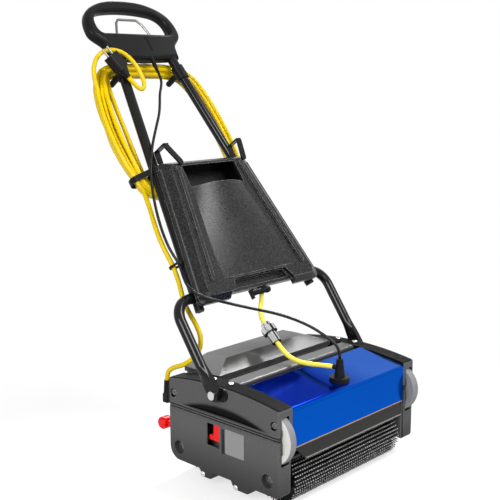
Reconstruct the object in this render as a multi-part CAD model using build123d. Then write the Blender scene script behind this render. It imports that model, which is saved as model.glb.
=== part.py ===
from build123d import *
import os
from math import cos, pi, radians, sin, tan

# Walk-behind floor scrubber with two counter-rotating cylindrical brushes. Sizes in millimetres.
# The origin is on the floor under the middle of the base. +Z is up, the front faces -Y,
# and +X is to the right seen from the front. "left" is the -X side.

# Base
BASE_INSIDE = 360.0  # between the inner faces of the side frames
HOUSING_WIDTH = 38.0  # one side housing, frame plate included
BASE_DEPTH = 298.0
WALL = 3.0  # moulded covers
FRAME_PLATE = 6.0
HOUSING_BELOW_SHAFT = 13.0  # bottom of the housings below the brush axes
SEAM_LOW = 146.0  # top of the lower covers
SEAM_HIGH = 159.0  # underside of the upper caps
CROWN_END = 208.5  # cap height at the front and rear
CROWN_MID = 222.0  # cap height at the middle
LEDGE_INSET = 1.5  # frame ledge behind the cover faces
SEAM_GROOVES = (149.5, 154.5)  # lines along the frame ledge
GROOVE = 1.2
EDGE_ROUND = 4.0
CAP_CORNER = 6.0  # front and rear end of the arched top
FRONT_CORNER = 8.0
REAR_CORNER = 28.0
FIT = 0.05  # radial clearance of shafts, pins and screws
GAP = 0.3  # between pieces that move past each other

# Lugs under the lower covers: rear and front edge, and the bolt in each at y and below the housing
LUG_DROP = 15.0  # below the bottom of the housings
LUG_SLOPE = 8.0
LUG_SPANS = ((-78.0, -24.0), (23.0, 63.0))
LUG_BOLTS = ((-40.0, 8.0), (50.0, 7.0))
BOLT_RADIUS = 3.0
BOLT_HEAD_RADIUS = 6.0
BOLT_HEAD = 4.0
BOLT_DOME = 2.8
TOP_BOLT_Y = (-8.0, 38.0)
TOP_BOLT_INSET = 21.0  # from the outer face of the housing
SCREW_RADIUS = 2.5
SCREW_HEAD_RADIUS = 5.5
SCREW_HEAD = 3.0
LOW_RECESS = (29.0, 66.0, 14.0, 12.0)  # in from the housing's end, z, radius, depth
HIGH_RECESS = (13.0, 178.0, 9.0, 6.0)

# Crescent scoop in the outer face of each cap, deepest at the middle of the seam
SCOOP_REAR_INSET = 21.0
SCOOP_FRONT_INSET = 13.0
SCOOP_TOP = 187.0
SCOOP_DEPTH = 7.0

# Brushes, pick-up drum and drive
BRUSH_END_GAP = 3.0
BRUSH_RADIUS = 50.0
BRUSH_SPACING = 200.0
BRUSH_CORE_RADIUS = 25.0
TUFT_ROWS = 40
TUFT_DEPTH = 9.0
BRUSH_SHAFT_RADIUS = 6.0
BEARING_RADIUS = 9.0
BEARING_LOBE_RADIUS = 17.0
PULLEY_RADIUS = 7.0
PULLEY_FLANGE_RADIUS = 9.3
PULLEY_FLANGE = 1.5
PULLEY_START = 10.0  # from the frame plate to the pulley
PULLEY_WIDTH = 13.0
BELT_THICKNESS = 1.6
DRIVE_Y = 24.0  # gearbox outputs before and behind the middle
DRIVE_Z = 132.0
DRIVE_SHAFT_RADIUS = 5.0
DRUM_RADIUS = 40.0
DRUM_END_GAP = 12.0  # room for the carriage arms
DRUM_RIM = 6.0
DRUM_FLOOR_GAP = 0.5
DRUM_SHAFT_RADIUS = 5.0
DRUM_LIFT = 8.0
ARM_PLATE = 6.0  # drum carriage arms
ARM_HALF_WIDTH = 12.0
ARM_BOTTOM = 26.0
ARM_REACH = 44.0  # behind the drum's axis, to the scraper
ARM_HEAD = 16.0
ARM_DECK_GAP = 1.0
SCRAPER_GAP = 0.5
KEY_WIDTH = 8.0
KEY_HEIGHT = 14.0
DECK_BOTTOM = 102.0
DECK = 4.0
DECK_GUARD_GAP = 0.45  # before the deck, to the splash guard
MOTOR_RADIUS = 36.0
MOTOR_LENGTH = 182.0
MOTOR_FIN_LENGTH = 120.0
MOTOR_FOOT_LENGTH = 80.0
MOTOR_FOOT_HALF = 21.6
MOTOR_Z = 150.0
MOTOR_FINS = 12
GEARBOX_LENGTH = 58.0
GEARBOX_END_GAP = 10.0
GEARBOX_HALF_DEPTH = 44.0
GEARBOX_TOP = 160.0

# Bumper wheels in the front corners
WHEEL_RADIUS = 53.0
WHEEL_WIDTH = 18.0
WHEEL_SETBACK = 31.5  # wheel centre behind the front of the housing
WHEEL_Z = 146.5
WHEEL_INSET = 9.0  # from the outer face of the housing to the wheel
WHEEL_ROOM = 4.0
WHEEL_SIDE_ROOM = 1.8
WHEEL_CROWN = 1.5
WHEEL_CHAMFER = 1.0
WHEEL_RIM = 12.0
WHEEL_RIM_SLOPE = 3.0
WHEEL_DISH = 4.0
WHEEL_HUB = 8.0
WHEEL_HUB_SLOPE = 2.0
AXLE_RADIUS = 6.0

# Covers between the housings
FRONT_COVER_REAR = -34.0
FRONT_COVER_NOSE = 204.0  # top of the front face
FRONT_COVER_BOTTOM = 125.0
FRONT_BEND = 9.0
REAR_LIP = 20.0
COVER_END_GAP = 0.4
GUARD_BOTTOM = 93.0
GUARD_THICKNESS = 2.5
GUARD_OVERLAP = 12.0
GUARD_CUT = (17.0, 24.0)  # left end cut away: in from the end, up from the bottom edge
GUARD_CUT_FOOT = 45.0
CARRY_BAR_Y = (-17.0, 20.0)
CARRY_BAR_THICKNESS = 16.0
HOOD_FRONT = 46.0
HOOD_END_GAP = 5.0
HOOD_REAR_GAP = 2.0
HOOD_BEVELS = (36.0, 9.0, 55.0)  # front, rear and ends
HOOD_RISE = 18.0
HOOD_SKIRT = 10.0
LID_FIT = 0.5
REAR_PANEL = 7.0
REAR_PANEL_Z = (150.0, 196.0)
REAR_PANEL_INSET = 4.0

# Lever window and foot pedal, both on the left housing
WINDOW_Y = (4.5, 39.5)
WINDOW_Z = (94.0, 140.5)
SLOT_Y = (-10.5, -0.5)
SLOT_Z = (86.0, 138.0)
SLOT_POCKET = 6.5  # blind end of the slot, behind the cover's inner face
SLOT_FLOOR = 1.5
PLATE_Y = (-62.0, -12.0)
PLATE_Z = (90.0, 140.0)
PLATE_THICKNESS = 0.8
PLATE_CORNER = 2.0
LEVER_PIVOT = (-5.0, 118.0)
LEVER_PIN_RADIUS = 4.0
LEVER_HUB_RADIUS = 8.0
LEVER_HUB_WIDTH = 7.0
LEVER_FACE_GAP = 2.0  # behind the inner face of the cover
LEVER_THICKNESS = 15.0
PADDLE_Y = (6.0, 25.0)
PADDLE_Z = (105.0, 139.0)
TOE_Y = 36.5
TOE_Z = 115.0
TOE_ROUND = 2.0
PADDLE_ROUND = 4.0
PEDAL_PIVOT_INSET = 37.0  # before the rear of the housing
PEDAL_PIVOT_Z = 104.0
PEDAL_KNOB_REACH = 32.0  # behind the housing
PEDAL_KNOB_Z = 99.0
PEDAL_KNOB_RADIUS = 13.0
PEDAL_KNOB_WIDTH = 24.0
PEDAL_ARM = 10.0
PEDAL_ARM_WIDTH = 12.0
PEDAL_OUTER_GAP = 9.0  # from the cover's inner face to the arm
PEDAL_SLOT_Z = (85.0, 113.0)
PEDAL_SLOT_ROOM = 2.0

# Feed valve on the front cover, mains gland at the rear left
VALVE_SETBACK = 31.0  # behind the front of the base
VALVE_FLANGE_RADIUS = 20.0
VALVE_FLANGE_TOP = 216.0
VALVE_CONE = (11.0, 6.5)
VALVE_TOP = 253.0
VALVE_STEM_RADIUS = 9.0
BARB_END = (-4.0, -104.0, 234.5)  # the hose leaves along the line from the valve axis
SPRAY_BAR_RADIUS = 6.0
SPRAY_BAR_END_GAP = 15.0
GLAND_INSET = 10.0  # from the outer face of the left housing
GLAND_REACH = 8.0  # behind the rear panel
GLAND_BLOCK_TOP = 168.0
GLAND_TOP = 196.0
GLAND_RADII = (8.0, 6.5)

# Handle: pivot, lean in the photographed pose, tubes. Distances along the handle are from the pivot.
PIVOT_Y = 6.0
PIVOT_DROP = 15.0  # below the top of the caps
HANDLE_LEAN = 35.0
PIVOT_PIN_RADIUS = 6.0
PIVOT_HEAD_RADIUS = 8.5
PIVOT_HEAD = 4.5
BUSH = 3.5
BUSH_RADIUS = 14.0
BUSH_OFFSET = 12.0
TUBE_RADIUS = 11.0
TUBE_WALL = 1.5
YOKE_ARM_GAP = 11.5  # from the housing to the axis of the arm
YOKE_CROSS = 197.0
YOKE_BEND = 42.0
PAD_LENGTH = 25.0
PAD_WIDTH = 26.0
PAD_THICKNESS = 12.0
FLARE_END = 60.0
TUBE_FOOT_X = 167.6  # handle tube axis where it meets the cross bar
TUBE_SLOPE = 0.15  # inward per unit along the handle
TUBE_END = 796.0
KNOB_RADIUS = 8.5
KNOB_LENGTH = 24.0
KNOB_LOBES = 6
KNOB_LOBE_RADIUS = 1.7
KNOB_SADDLE = 6.6  # knob seat above the bottom of the cross bar
STUD_RADIUS = 4.0
STUD_REACH = 24.0

# Handle head with closed grip loop
HEAD_HALF_THICKNESS = 14.0
HEAD_ROUND = 11.0
HEAD_BOTTOM = 771.0
HEAD_FOOT = (97.0, 776.0)
HEAD_WAIST = (101.0, 804.0)
HEAD_SIDE = (133.0, 852.0)
HEAD_SHOULDER = (84.0, 922.0)
HEAD_TOP = 936.0
GRIP_BOTTOM = 844.0
GRIP_CORNER = (90.0, 844.0)
GRIP_SIDE = (105.0, 864.0)
GRIP_SHOULDER = (58.0, 903.0)
GRIP_TOP = 907.0
INLAY_X = 15.0
INLAY_S = (790.0, 830.0)
INLAY_WIDTH = 12.0
INLAY_DEPTH = 1.5
BAIL_RADIUS = 3.0
BAIL_FOOT = (50.0, 822.0)
BAIL_KNEE = (50.0, 846.0)
BAIL_SHOULDER = (36.0, 879.0)
BAIL_TOP = 888.0
BAIL_CORNER = 9.0
BAIL_BEND = 7.0
FERRULE_X = 10.0
FERRULE_OFF = 9.0
FERRULE_LENGTH = 36.0
FERRULE_RADIUS = 4.5
HOOK_S = (724.0, 756.0)
HOOK_RADIUS = 14.5
PEG_S = 742.5
PEG_RADIUS = 7.0
PEG_REACH = 52.0
PEG_ROUND = 4.2

# Solution tank on the front of the tubes
TANK_BOTTOM = 172.0
TANK_TOP = 495.0
TANK_FOOT_HALF = 186.0
TANK_HEAD_HALF = 131.0
TANK_OFF_TUBES = 3.6
TANK_FLANGE = 8.4
TANK_FACE = 37.0  # off the tube plane
TANK_FACE_INSET = 22.0
TANK_BACK = -8.0
TANK_BACK_CLEARANCE = 5.0  # beside the tubes
SADDLE_S = ((228.0, 248.0), (395.0, 415.0))  # feet of the flange on the tubes
SADDLE_WIDTH = 16.0
TANK_CORNER = 14.0
BEAD_RADIUS = 5.5  # rolled edge along each side
BEAD_OFF = 20.5
BEAD_OVER = 2.0  # beyond the side of the flange
BEAD_S = (190.0, 478.0)
DOME_S = (426.0, 212.0)  # at the hand recess and at the foot
DOME_HALF = (79.5, 122.0)
DOME_RISE = (16.0, 3.0)
DOME_FOOT = 1.0  # below the tank's face
RIB_HALF = (95.0, 138.0)
RIB_S = (470.0, 217.0)
RIB_WIDTH = 9.0
RIB_RISE = 4.5
RIB_BOSS = 7.0  # round head of each rib
HAND_RECESS_S = (425.0, 478.0)
HAND_RECESS_HALF = 80.0
HAND_RECESS_FLOOR = 0.0
NOTCH_S = (172.0, 208.0)
NOTCH_HALF = (100.0, 78.0)
NOTCH_FLOOR = 27.0
POCKET_S = (189.0, 207.0)  # deep upper part of the notch
POCKET_HALF = (85.0, 75.0)
POCKET_FLOOR = 17.5
CLIP_S = (500.0, 527.0)  # on the tube and at the upright
CLIP_APEX_OFF = 52.0
CLIP_LEAN = 4.0
CLIP_X = 110.0
CLIP_WIDTH = 14.0
CLIP_THICKNESS = 3.0
PADDLE_THICKNESS = 4.0
PADDLE_RUN = {-1: 44.0, 1: 36.0}  # left and right
PADDLE_TURN = {-1: 40.0, 1: 0.0}  # inwards, from straight down the tank
PADDLE_DROP = 8.9
LIP_BOTTOM = 181.0  # tank foot between the notch's sides
OUTLET_OFF = 21.0
OUTLET_DROP = 14.0
OUTLET_RADIUS = 9.0
TAP_X = (-36.0, 17.0)
TAP_DROP = 8.0  # axis below the lip
TAP_RADIUS = 6.5
TAP_COLLARS = (-26.0, 13.0)
TAP_COLLAR_RADIUS = 7.5
TAP_COLLAR = 5.0
TAP_LEVER = (8.0, 20.0, 4.0)

# Cords. Handle points are (x, along the handle, off the tube plane); base points are (x, y, z).
MAINS_DIAMETER = 10.0
HOSE_DIAMETER = 10.0
CABLE_DIAMETER = 6.0
HANK_RADIUS = 18.0
HANK_OFF = -33.0
HANK_LOOP = (
    (-20.0, 769.0),
    (105.0, 768.0),
    (131.0, 738.0),
    (140.0, 690.0),
    (149.0, 625.0),
    (152.0, 560.0),
    (146.0, 495.0),
    (112.0, 450.0),
    (10.0, 440.0),
    (-100.0, 444.0),
    (-142.0, 470.0),
    (-152.0, 535.0),
    (-155.0, 605.0),
    (-148.0, 675.0),
    (-133.0, 735.0),
    (-105.0, 768.0),
)
LEAD_ON_HANDLE = (
    (-145.0, 474.0, -33.0),
    (-156.0, 440.0, -23.0),
    (-169.0, 401.0, -14.0),
    (-180.0, 360.0, -10.0),
    (-184.0, 317.0, -8.0),
    (-179.0, 274.0, -9.0),
    (-177.0, 240.0, -16.0),
    (-176.0, 208.0, -27.0),
)
LEAD_ON_BASE = (
    (-178.0, 128.0, 337.0),
    (-181.0, 102.0, 316.0),
    (-185.0, 86.0, 294.0),
    (-190.0, 86.0, 270.0),
    (-197.0, 101.0, 249.0),
    (-203.0, 122.0, 235.0),
    (-206.5, 142.0, 228.0),
    (-208.0, 156.5, 219.0),
    (-208.0, 164.0, 208.0),
)
CABLE_ON_HANDLE = (
    (10.0, 714.0, 9.0),
    (-5.0, 690.0, 12.0),
    (-30.0, 660.0, 15.0),
    (-60.0, 622.0, 18.0),
    (-90.0, 584.0, 19.0),
    (-117.0, 546.0, 17.0),
    (-136.0, 505.0, 12.0),
    (-150.0, 464.0, 6.0),
    (-162.0, 424.0, 3.0),
    (-172.0, 384.0, 2.5),
    (-180.0, 343.0, 4.0),
    (-182.0, 306.0, 5.0),
    (-174.5, 273.0, 5.0),
    (-184.0, 243.0, 10.0),
    (-193.0, 219.0, 19.0),
    (-191.0, 196.0, 31.0),
    (-176.0, 178.0, 40.0),
    (-150.0, 165.0, 43.0),
)
CABLE_ON_BASE = (
    (-120.0, 60.0, 356.0),
    (-84.0, 38.0, 344.0),
    (-52.0, -8.0, 334.0),
    (-25.0, -53.0, 317.0),
    (-8.0, -90.0, 295.0),
    (0.0, -118.0, 275.0),
)
COUPLING_TOP = (-14.0, 70.5, 292.4)
COUPLING_END = (-18.0, 33.0, 261.0)
COUPLING_RADIUS = 10.5
COLLAR_RADIUS = 16.0
COLLAR_SPAN = (10.0, 24.0)
HOSE_STRAIGHT = (12.0, 12.0, 15.0, 18.0)  # straight run at the outlet, both coupling ends and the barb
HOSE_UPPER = (
    (-3.0, 93.5, 326.0),
    (-8.0, 89.0, 311.5),
)
HOSE_LOWER = (
    (-21.0, 2.0, 239.5),
    (-21.0, -20.0, 233.5),
    (-19.5, -43.0, 232.0),
    (-15.0, -66.0, 233.0),
)
TAIL = (
    (-76.6, 687.9, 14.5),
    (-58.0, 687.0, 16.0),
    (-45.0, 701.0, 20.0),
    (-44.0, 723.0, 24.0),
    (-51.0, 748.0, 28.0),
    (-66.0, 772.0, 31.0),
    (-88.0, 789.0, 31.0),
    (-114.0, 797.0, 25.0),
    (-140.0, 788.0, 14.0),
    (-156.0, 766.0, 2.0),
    (-159.0, 738.0, -11.0),
    (-154.0, 710.0, -24.0),
    (-149.0, 690.0, -33.0),
)
PLUG_FOOT = (-94.0, 716.0, 19.5)  # where the cord enters the plug
PLUG_AXIS = (-0.52, 0.84, 0.15)
PLUG_BODY = (34.0, 24.0, 38.0)
PLUG_PIN = (2.4, 19.0, 9.5)  # radius, length, half spacing
PLUG_NECK = 22.0
PLUG_NECK_RADII = (6.0, 9.6)
TIE_WIDTH = 5.0
TIE_THICKNESS = 1.4
TIE_ROOM = 3.2  # round the cords in a tie
TIE_S = 274.0
TIE_CABLE = (-176.4, 5.4)  # x and off of the cable at the tie
TIE_LEAD = (-179.2, -9.2)
STRAP_WIDTH = 13.0
STRAP_S = 488.0
STRAP_HANK_X = -143.6

# Worked out from the sizes above
HALF_IN = BASE_INSIDE / 2
HALF_OUT = HALF_IN + HOUSING_WIDTH
HALF_DEPTH = BASE_DEPTH / 2
FRAME_OUT = HALF_IN + FRAME_PLATE
COVER_IN = HALF_OUT - WALL
BRUSH_LENGTH = BASE_INSIDE - 2 * BRUSH_END_GAP
BRUSH_Y = BRUSH_SPACING / 2
BRUSH_Z = BRUSH_RADIUS
HOUSING_BOTTOM = BRUSH_Z - HOUSING_BELOW_SHAFT
LUG_BOTTOM = HOUSING_BOTTOM - LUG_DROP
DRUM_LENGTH = BASE_INSIDE - 2 * DRUM_END_GAP
DRUM_Z = DRUM_RADIUS + DRUM_FLOOR_GAP
ARM_TOP = DECK_BOTTOM - DRUM_LIFT - ARM_DECK_GAP
GEARBOX_SPAN = (HALF_IN - GEARBOX_END_GAP - GEARBOX_LENGTH, HALF_IN - GEARBOX_END_GAP)
MOTOR_SPAN = (GEARBOX_SPAN[0] - MOTOR_LENGTH, GEARBOX_SPAN[0])
HOOD_Y = (HOOD_FRONT, HALF_DEPTH - HOOD_REAR_GAP)
HOOD_TOP_Y = (HOOD_Y[0] + HOOD_BEVELS[0], HOOD_Y[1] - HOOD_BEVELS[1])
HOOD_HALF_WIDTH = HALF_IN - HOOD_END_GAP
HOOD_TOP_HALF_WIDTH = HOOD_HALF_WIDTH - HOOD_BEVELS[2]
HOOD_BASE = CROWN_MID
HOOD_TOP = HOOD_BASE + HOOD_RISE
REAR_PANEL_Y = HALF_DEPTH + REAR_PANEL
PEDAL_PIVOT = (HALF_DEPTH - PEDAL_PIVOT_INSET, PEDAL_PIVOT_Z)
PEDAL_KNOB = (HALF_DEPTH + PEDAL_KNOB_REACH, PEDAL_KNOB_Z)
VALVE_Y = VALVE_SETBACK - HALF_DEPTH
STEM_FOOT = DECK_BOTTOM + DECK + 2 * SPRAY_BAR_RADIUS
GLAND_X = GLAND_INSET - HALF_OUT
GLAND_Y = REAR_PANEL_Y + GLAND_REACH
WHEEL_Y = WHEEL_SETBACK - HALF_DEPTH
WHEEL_OUT = HALF_OUT - WHEEL_INSET
WHEEL_IN = WHEEL_OUT - WHEEL_WIDTH
PULLEY_IN = FRAME_OUT + PULLEY_START
PULLEY_OUT = PULLEY_IN + PULLEY_WIDTH
PAD_IN = HALF_OUT + BUSH + GAP
PAD_OUT = PAD_IN + PAD_THICKNESS
PIVOT_Z = CROWN_MID - PIVOT_DROP
YOKE_ARM_X = HALF_OUT + YOKE_ARM_GAP
LEAN = radians(HANDLE_LEAN)
HANDLE = Plane(origin=(0, PIVOT_Y, PIVOT_Z), x_dir=(1, 0, 0), z_dir=(0, -cos(LEAN), sin(LEAN)))
FLANGE_LOW = TUBE_RADIUS + TANK_OFF_TUBES
FLANGE_HIGH = FLANGE_LOW + TANK_FLANGE
FERRULE_TOP = HEAD_BOTTOM + FERRULE_LENGTH / 2
FERRULE_END = HEAD_BOTTOM - FERRULE_LENGTH
OUTLET_TOP = HANDLE.from_local_coords(Vector(0, LIP_BOTTOM, OUTLET_OFF))
OUTLET_END = OUTLET_TOP - Vector(0, 0, OUTLET_DROP)
LEFT = -1
RIGHT = 1
SIDES = (LEFT, RIGHT)
ENDS = (-1, 1)


def on_handle(shape):
    """Place a shape drawn in handle coordinates (x, along, off) into the frame of the object."""
    return HANDLE.location * shape


def handle_point(point):
    """A handle point in the frame of the object."""
    return HANDLE.from_local_coords(Vector(*point))


def beyond(start, end, distance):
    """Point past the end of a line, a distance further on."""
    axis = (Vector(*end) - Vector(*start)).normalized()
    return Vector(*end) + axis * distance


def yz_prism(face, x_a, x_b):
    """Extrude a face drawn in (Y, Z) between two x values."""
    low, high = sorted((x_a, x_b))
    return extrude(Plane.YZ.offset(low) * face, amount=high - low)


def rod_x(x_a, x_b, y, z, radius):
    """Round rod along X."""
    return yz_prism(Pos(y, z) * Circle(radius), x_a, x_b)


def rod(start, end, radius, end_radius=None):
    """Round or tapered rod between two points."""
    start = Vector(*start)
    axis = Vector(*end) - start
    plane = Plane(origin=start, z_dir=axis)
    if end_radius is None:
        return extrude(plane * Circle(radius), amount=axis.length)
    return loft([plane * Circle(radius), plane.offset(axis.length) * Circle(end_radius)])


def block(xs, ys, zs):
    """Box between two values on each axis."""
    spans = (xs, ys, zs)
    centre = [(a + b) / 2 for a, b in spans]
    size = [abs(b - a) for a, b in spans]
    return Pos(*centre) * Box(*size)


def polygon(points, rounds=None):
    """Closed outline through points, with rounded corners given as {index: radius}."""
    face = make_face(Polyline(*points, close=True))
    for index, radius in (rounds or {}).items():
        corner = Vector(*points[index])
        vertex = min(face.vertices(), key=lambda v: (Vector(v.X, v.Y, 0) - corner).length)
        face = fillet(vertex, radius)
    return face


def hull_face(circles):
    """Convex outline round circles given as (a, b, radius)."""
    edges = [edge for a, b, radius in circles for edge in (Pos(a, b) * Circle(radius)).edges()]
    return make_hull(edges)


def fillet_radii(points, closed=False):
    """Largest tangent arc at each corner: 0.45 of the shorter run over the tangent of half the turn."""
    corners = [Vector(*point) for point in points]
    before = corners[-1:] + corners[:-1]
    after = corners[1:] + corners[:1]
    radii = []
    for previous, corner, following in zip(before, corners, after):
        run_in = corner - previous
        run_out = following - corner
        half_turn = radians(run_in.get_angle(run_out)) / 2
        radii.append(0.45 * min(run_in.length, run_out.length) / tan(half_turn))
    return radii if closed else radii[1:-1]


def cord(name, points, diameter, closed=False):
    """Round cord along straight runs joined by tangent arcs."""
    radii = fillet_radii(points, closed)
    route = FilletPolyline(*points, radius=radii, close=closed)
    section = Plane(origin=route @ 0, z_dir=route % 0) * Circle(diameter / 2)
    solid = sweep(section, path=route)
    filled = solid.volume / (pi * diameter**2 / 4 * route.length)
    print(f"{name}: length {route.length:.0f}, smallest radius {min(radii):.0f}, volume ratio {filled:.3f}")
    return solid


def crown_face(inset=0.0, bottom=SEAM_HIGH):
    """Side outline of an upper cap in (Y, Z), with its arched top."""
    half = HALF_DEPTH - inset
    top = ThreePointArc((half, CROWN_END - inset), (0, CROWN_MID - inset), (-half, CROWN_END - inset))
    base = Polyline(top @ 1, (-half, bottom), (half, bottom), top @ 0)
    face = make_face(Curve() + top + base)
    return fillet(face.vertices().sort_by(Axis.Y)[-2:], CAP_CORNER - inset)


def crown_height(y):
    """Height of the cap's arched top at y."""
    rise = CROWN_MID - CROWN_END
    radius = (HALF_DEPTH**2 + rise**2) / (2 * rise)
    return CROWN_MID - radius + (radius**2 - y**2) ** 0.5


def lower_outline():
    """Side outline of a lower cover in (Y, Z), with its two lugs."""
    points = [(-HALF_DEPTH, SEAM_LOW), (-HALF_DEPTH, HOUSING_BOTTOM)]
    rounds = {1: FRONT_CORNER}
    for start, end in LUG_SPANS:
        first = len(points)
        points += [(start, HOUSING_BOTTOM), (start + LUG_SLOPE, LUG_BOTTOM)]
        points += [(end - LUG_SLOPE, LUG_BOTTOM), (end, HOUSING_BOTTOM)]
        rounds.update({first + 1: LUG_SLOPE, first + 2: LUG_SLOPE})
    rounds[len(points)] = REAR_CORNER
    points += [(HALF_DEPTH, HOUSING_BOTTOM), (HALF_DEPTH, SEAM_LOW)]
    return polygon(points, rounds)


def wheel_room(side):
    """Space cut in the housing for a bumper wheel."""
    inner = side * (WHEEL_IN - WHEEL_SIDE_ROOM)
    outer = side * (WHEEL_OUT + WHEEL_SIDE_ROOM)
    return rod_x(inner, outer, WHEEL_Y, WHEEL_Z, WHEEL_RADIUS + WHEEL_ROOM)


def outer_edges(solid, side):
    """Edges round the outer face of a housing part."""
    face = solid.faces().sort_by(Axis.X)[-1 if side == RIGHT else 0]
    return face.outer_wire().edges()


def scoop_cone(side, deeper=0.0):
    """Cone that cuts the scoop: its rim is the arch, and it goes deeper down to the middle of the seam."""
    rear = HALF_DEPTH - SCOOP_REAR_INSET
    front = SCOOP_FRONT_INSET - HALF_DEPTH
    rise = SCOOP_TOP - SEAM_HIGH
    rim = ((rear - front) ** 2 / 4 + rise**2) / (2 * rise)
    axis = ((rear + front) / 2, SCOOP_TOP - rim)
    outside = side * (HALF_OUT + 1 - deeper)
    floor = side * (HALF_OUT - SCOOP_DEPTH - deeper)
    return rod((outside, *axis), (floor, *axis), rim + rise / SCOOP_DEPTH, rim - rise)


def lug_bolt_places():
    """The two bolts in the lugs of a housing, in (Y, Z)."""
    return [(y, HOUSING_BOTTOM - drop) for y, drop in LUG_BOLTS]


def recess_places(recess):
    """The two places of a screw recess, before and behind the middle."""
    return [(end * (HALF_DEPTH - recess[0]), recess[1]) for end in ENDS]


def lower_cover(side):
    """Lower side cover: shell open towards the frame, with lugs, screw recesses and wheel slot."""
    outline = lower_outline()
    cover = yz_prism(outline, side * FRAME_OUT, side * HALF_OUT)
    cover = fillet(outer_edges(cover, side), EDGE_ROUND)
    cover -= yz_prism(offset(outline, -WALL), side * FRAME_OUT, side * COVER_IN)
    radius, depth = LOW_RECESS[2:]
    for y, z in recess_places(LOW_RECESS):
        cover += rod_x(side * (HALF_OUT - depth - WALL), side * COVER_IN, y, z, radius + WALL / 2)
        cover -= rod_x(side * (HALF_OUT - depth), side * (HALF_OUT + 1), y, z, radius)
        cover -= rod_x(side * FRAME_OUT, side * HALF_OUT, y, z, SCREW_RADIUS + FIT)
    for y, z in lug_bolt_places():
        cover -= rod_x(side * FRAME_OUT, side * (HALF_OUT + 1), y, z, BOLT_RADIUS + FIT)
    cover -= wheel_room(side)
    cover -= rod_x(side * FRAME_OUT, side * COVER_IN, WHEEL_Y, WHEEL_Z, AXLE_RADIUS + FIT)
    if side == LEFT:
        through = (side * (COVER_IN - 1), side * (HALF_OUT + 1))
        cover -= block(through, WINDOW_Y, WINDOW_Z)
        pocket = COVER_IN - SLOT_POCKET
        pocket_y = (SLOT_Y[0] - SLOT_FLOOR, SLOT_Y[1] + SLOT_FLOOR)
        pocket_z = (SLOT_Z[0] - SLOT_FLOOR, SLOT_Z[1] + SLOT_FLOOR)
        cover += block((side * pocket, side * COVER_IN), pocket_y, pocket_z)
        cover -= block((side * (pocket + SLOT_FLOOR), side * (HALF_OUT + 1)), SLOT_Y, SLOT_Z)
        arm_in, arm_out = pedal_arm_span()
        side_room = (arm_in + PEDAL_SLOT_ROOM, arm_out - PEDAL_SLOT_ROOM)
        cover -= block(side_room, (HALF_DEPTH - WALL - 1, HALF_DEPTH + 1), PEDAL_SLOT_Z)
    return cover


def upper_cap(side):
    """Upper cap: arched shell open at the bottom, with the crescent scoop and the pivot hole."""
    cap = yz_prism(crown_face(), side * HALF_IN, side * HALF_OUT)
    rounded = [edge for edge in outer_edges(cap, side) if edge.center().Z > SEAM_HIGH + 1]
    cap = fillet(rounded, EDGE_ROUND)
    hollow = yz_prism(crown_face(WALL, SEAM_HIGH - 1), side * (HALF_IN + WALL), side * COVER_IN)
    hollow -= scoop_cone(side, WALL)
    cap -= hollow
    cap -= scoop_cone(side)
    radius, depth = HIGH_RECESS[2:]
    for y, z in recess_places(HIGH_RECESS):
        cap += rod_x(side * (HALF_OUT - depth - WALL), side * COVER_IN, y, z, radius + WALL / 2)
        cap -= rod_x(side * (HALF_OUT - depth), side * (HALF_OUT + 1), y, z, radius)
        cap -= rod_x(side * FRAME_OUT, side * HALF_OUT, y, z, SCREW_RADIUS + FIT)
    cap -= rod_x(side * FRAME_OUT, side * (HALF_OUT + 1), PIVOT_Y, PIVOT_Z, PIVOT_PIN_RADIUS + FIT)
    for y in TOP_BOLT_Y:
        cap -= rod(top_bolt(side, y, PIVOT_Z), top_bolt(side, y, CROWN_MID + 1), BOLT_RADIUS + FIT)
    return cap - wheel_room(side)


def top_bolt(side, y, z):
    """A point on the axis of a bolt through the top of a housing."""
    return (side * (HALF_OUT - TOP_BOLT_INSET), y, z)


def side_frame(side):
    """Cast side frame: plate with bearing lobes, ledge between the covers, pivot boss and lever pins."""
    half = HALF_DEPTH - WALL - 1
    low = HOUSING_BOTTOM + WALL
    face = Pos(0, (low + SEAM_HIGH) / 2) * Rectangle(2 * half, SEAM_HIGH - low)
    for end in ENDS:
        face += Pos(end * BRUSH_Y, BRUSH_Z) * Circle(BEARING_LOBE_RADIUS)
    for end in ENDS:
        face -= Pos(end * BRUSH_Y, BRUSH_Z) * Circle(BEARING_RADIUS + FIT)
    key_centre = DRUM_Z + DRUM_LIFT / 2
    face -= Pos(0, key_centre) * Rectangle(KEY_WIDTH + 2 * GAP, KEY_HEIGHT + DRUM_LIFT + 2 * GAP)
    frame = yz_prism(face, side * HALF_IN, side * FRAME_OUT)
    ledge_out = HALF_OUT - LEDGE_INSET
    ledge_half = HALF_DEPTH - LEDGE_INSET
    frame += block((side * FRAME_OUT, side * ledge_out), (-ledge_half, ledge_half), (SEAM_LOW, SEAM_HIGH))
    for z in SEAM_GROOVES:
        groove_x = (side * (ledge_out - GROOVE), side * HALF_OUT)
        frame -= block(groove_x, (-HALF_DEPTH, HALF_DEPTH), (z, z + GROOVE))
    frame += pivot_support(side)
    frame -= wheel_room(side)
    frame -= rod_x(side * HALF_IN, side * COVER_IN, WHEEL_Y, WHEEL_Z, AXLE_RADIUS + FIT)
    if side == LEFT:
        lever_reach = COVER_IN - SLOT_POCKET - GAP
        for place, reach in ((LEVER_PIVOT, lever_reach), (PEDAL_PIVOT, COVER_IN)):
            frame += rod_x(side * FRAME_OUT, side * reach, *place, LEVER_PIN_RADIUS)
    else:
        for end in ENDS:
            frame -= rod_x(HALF_IN, FRAME_OUT, end * DRIVE_Y, DRIVE_Z, DRIVE_SHAFT_RADIUS + FIT)
    for y, z in recess_places(LOW_RECESS):
        frame -= rod_x(side * HALF_IN, side * FRAME_OUT, y, z, SCREW_RADIUS + FIT)
    return frame


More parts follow.
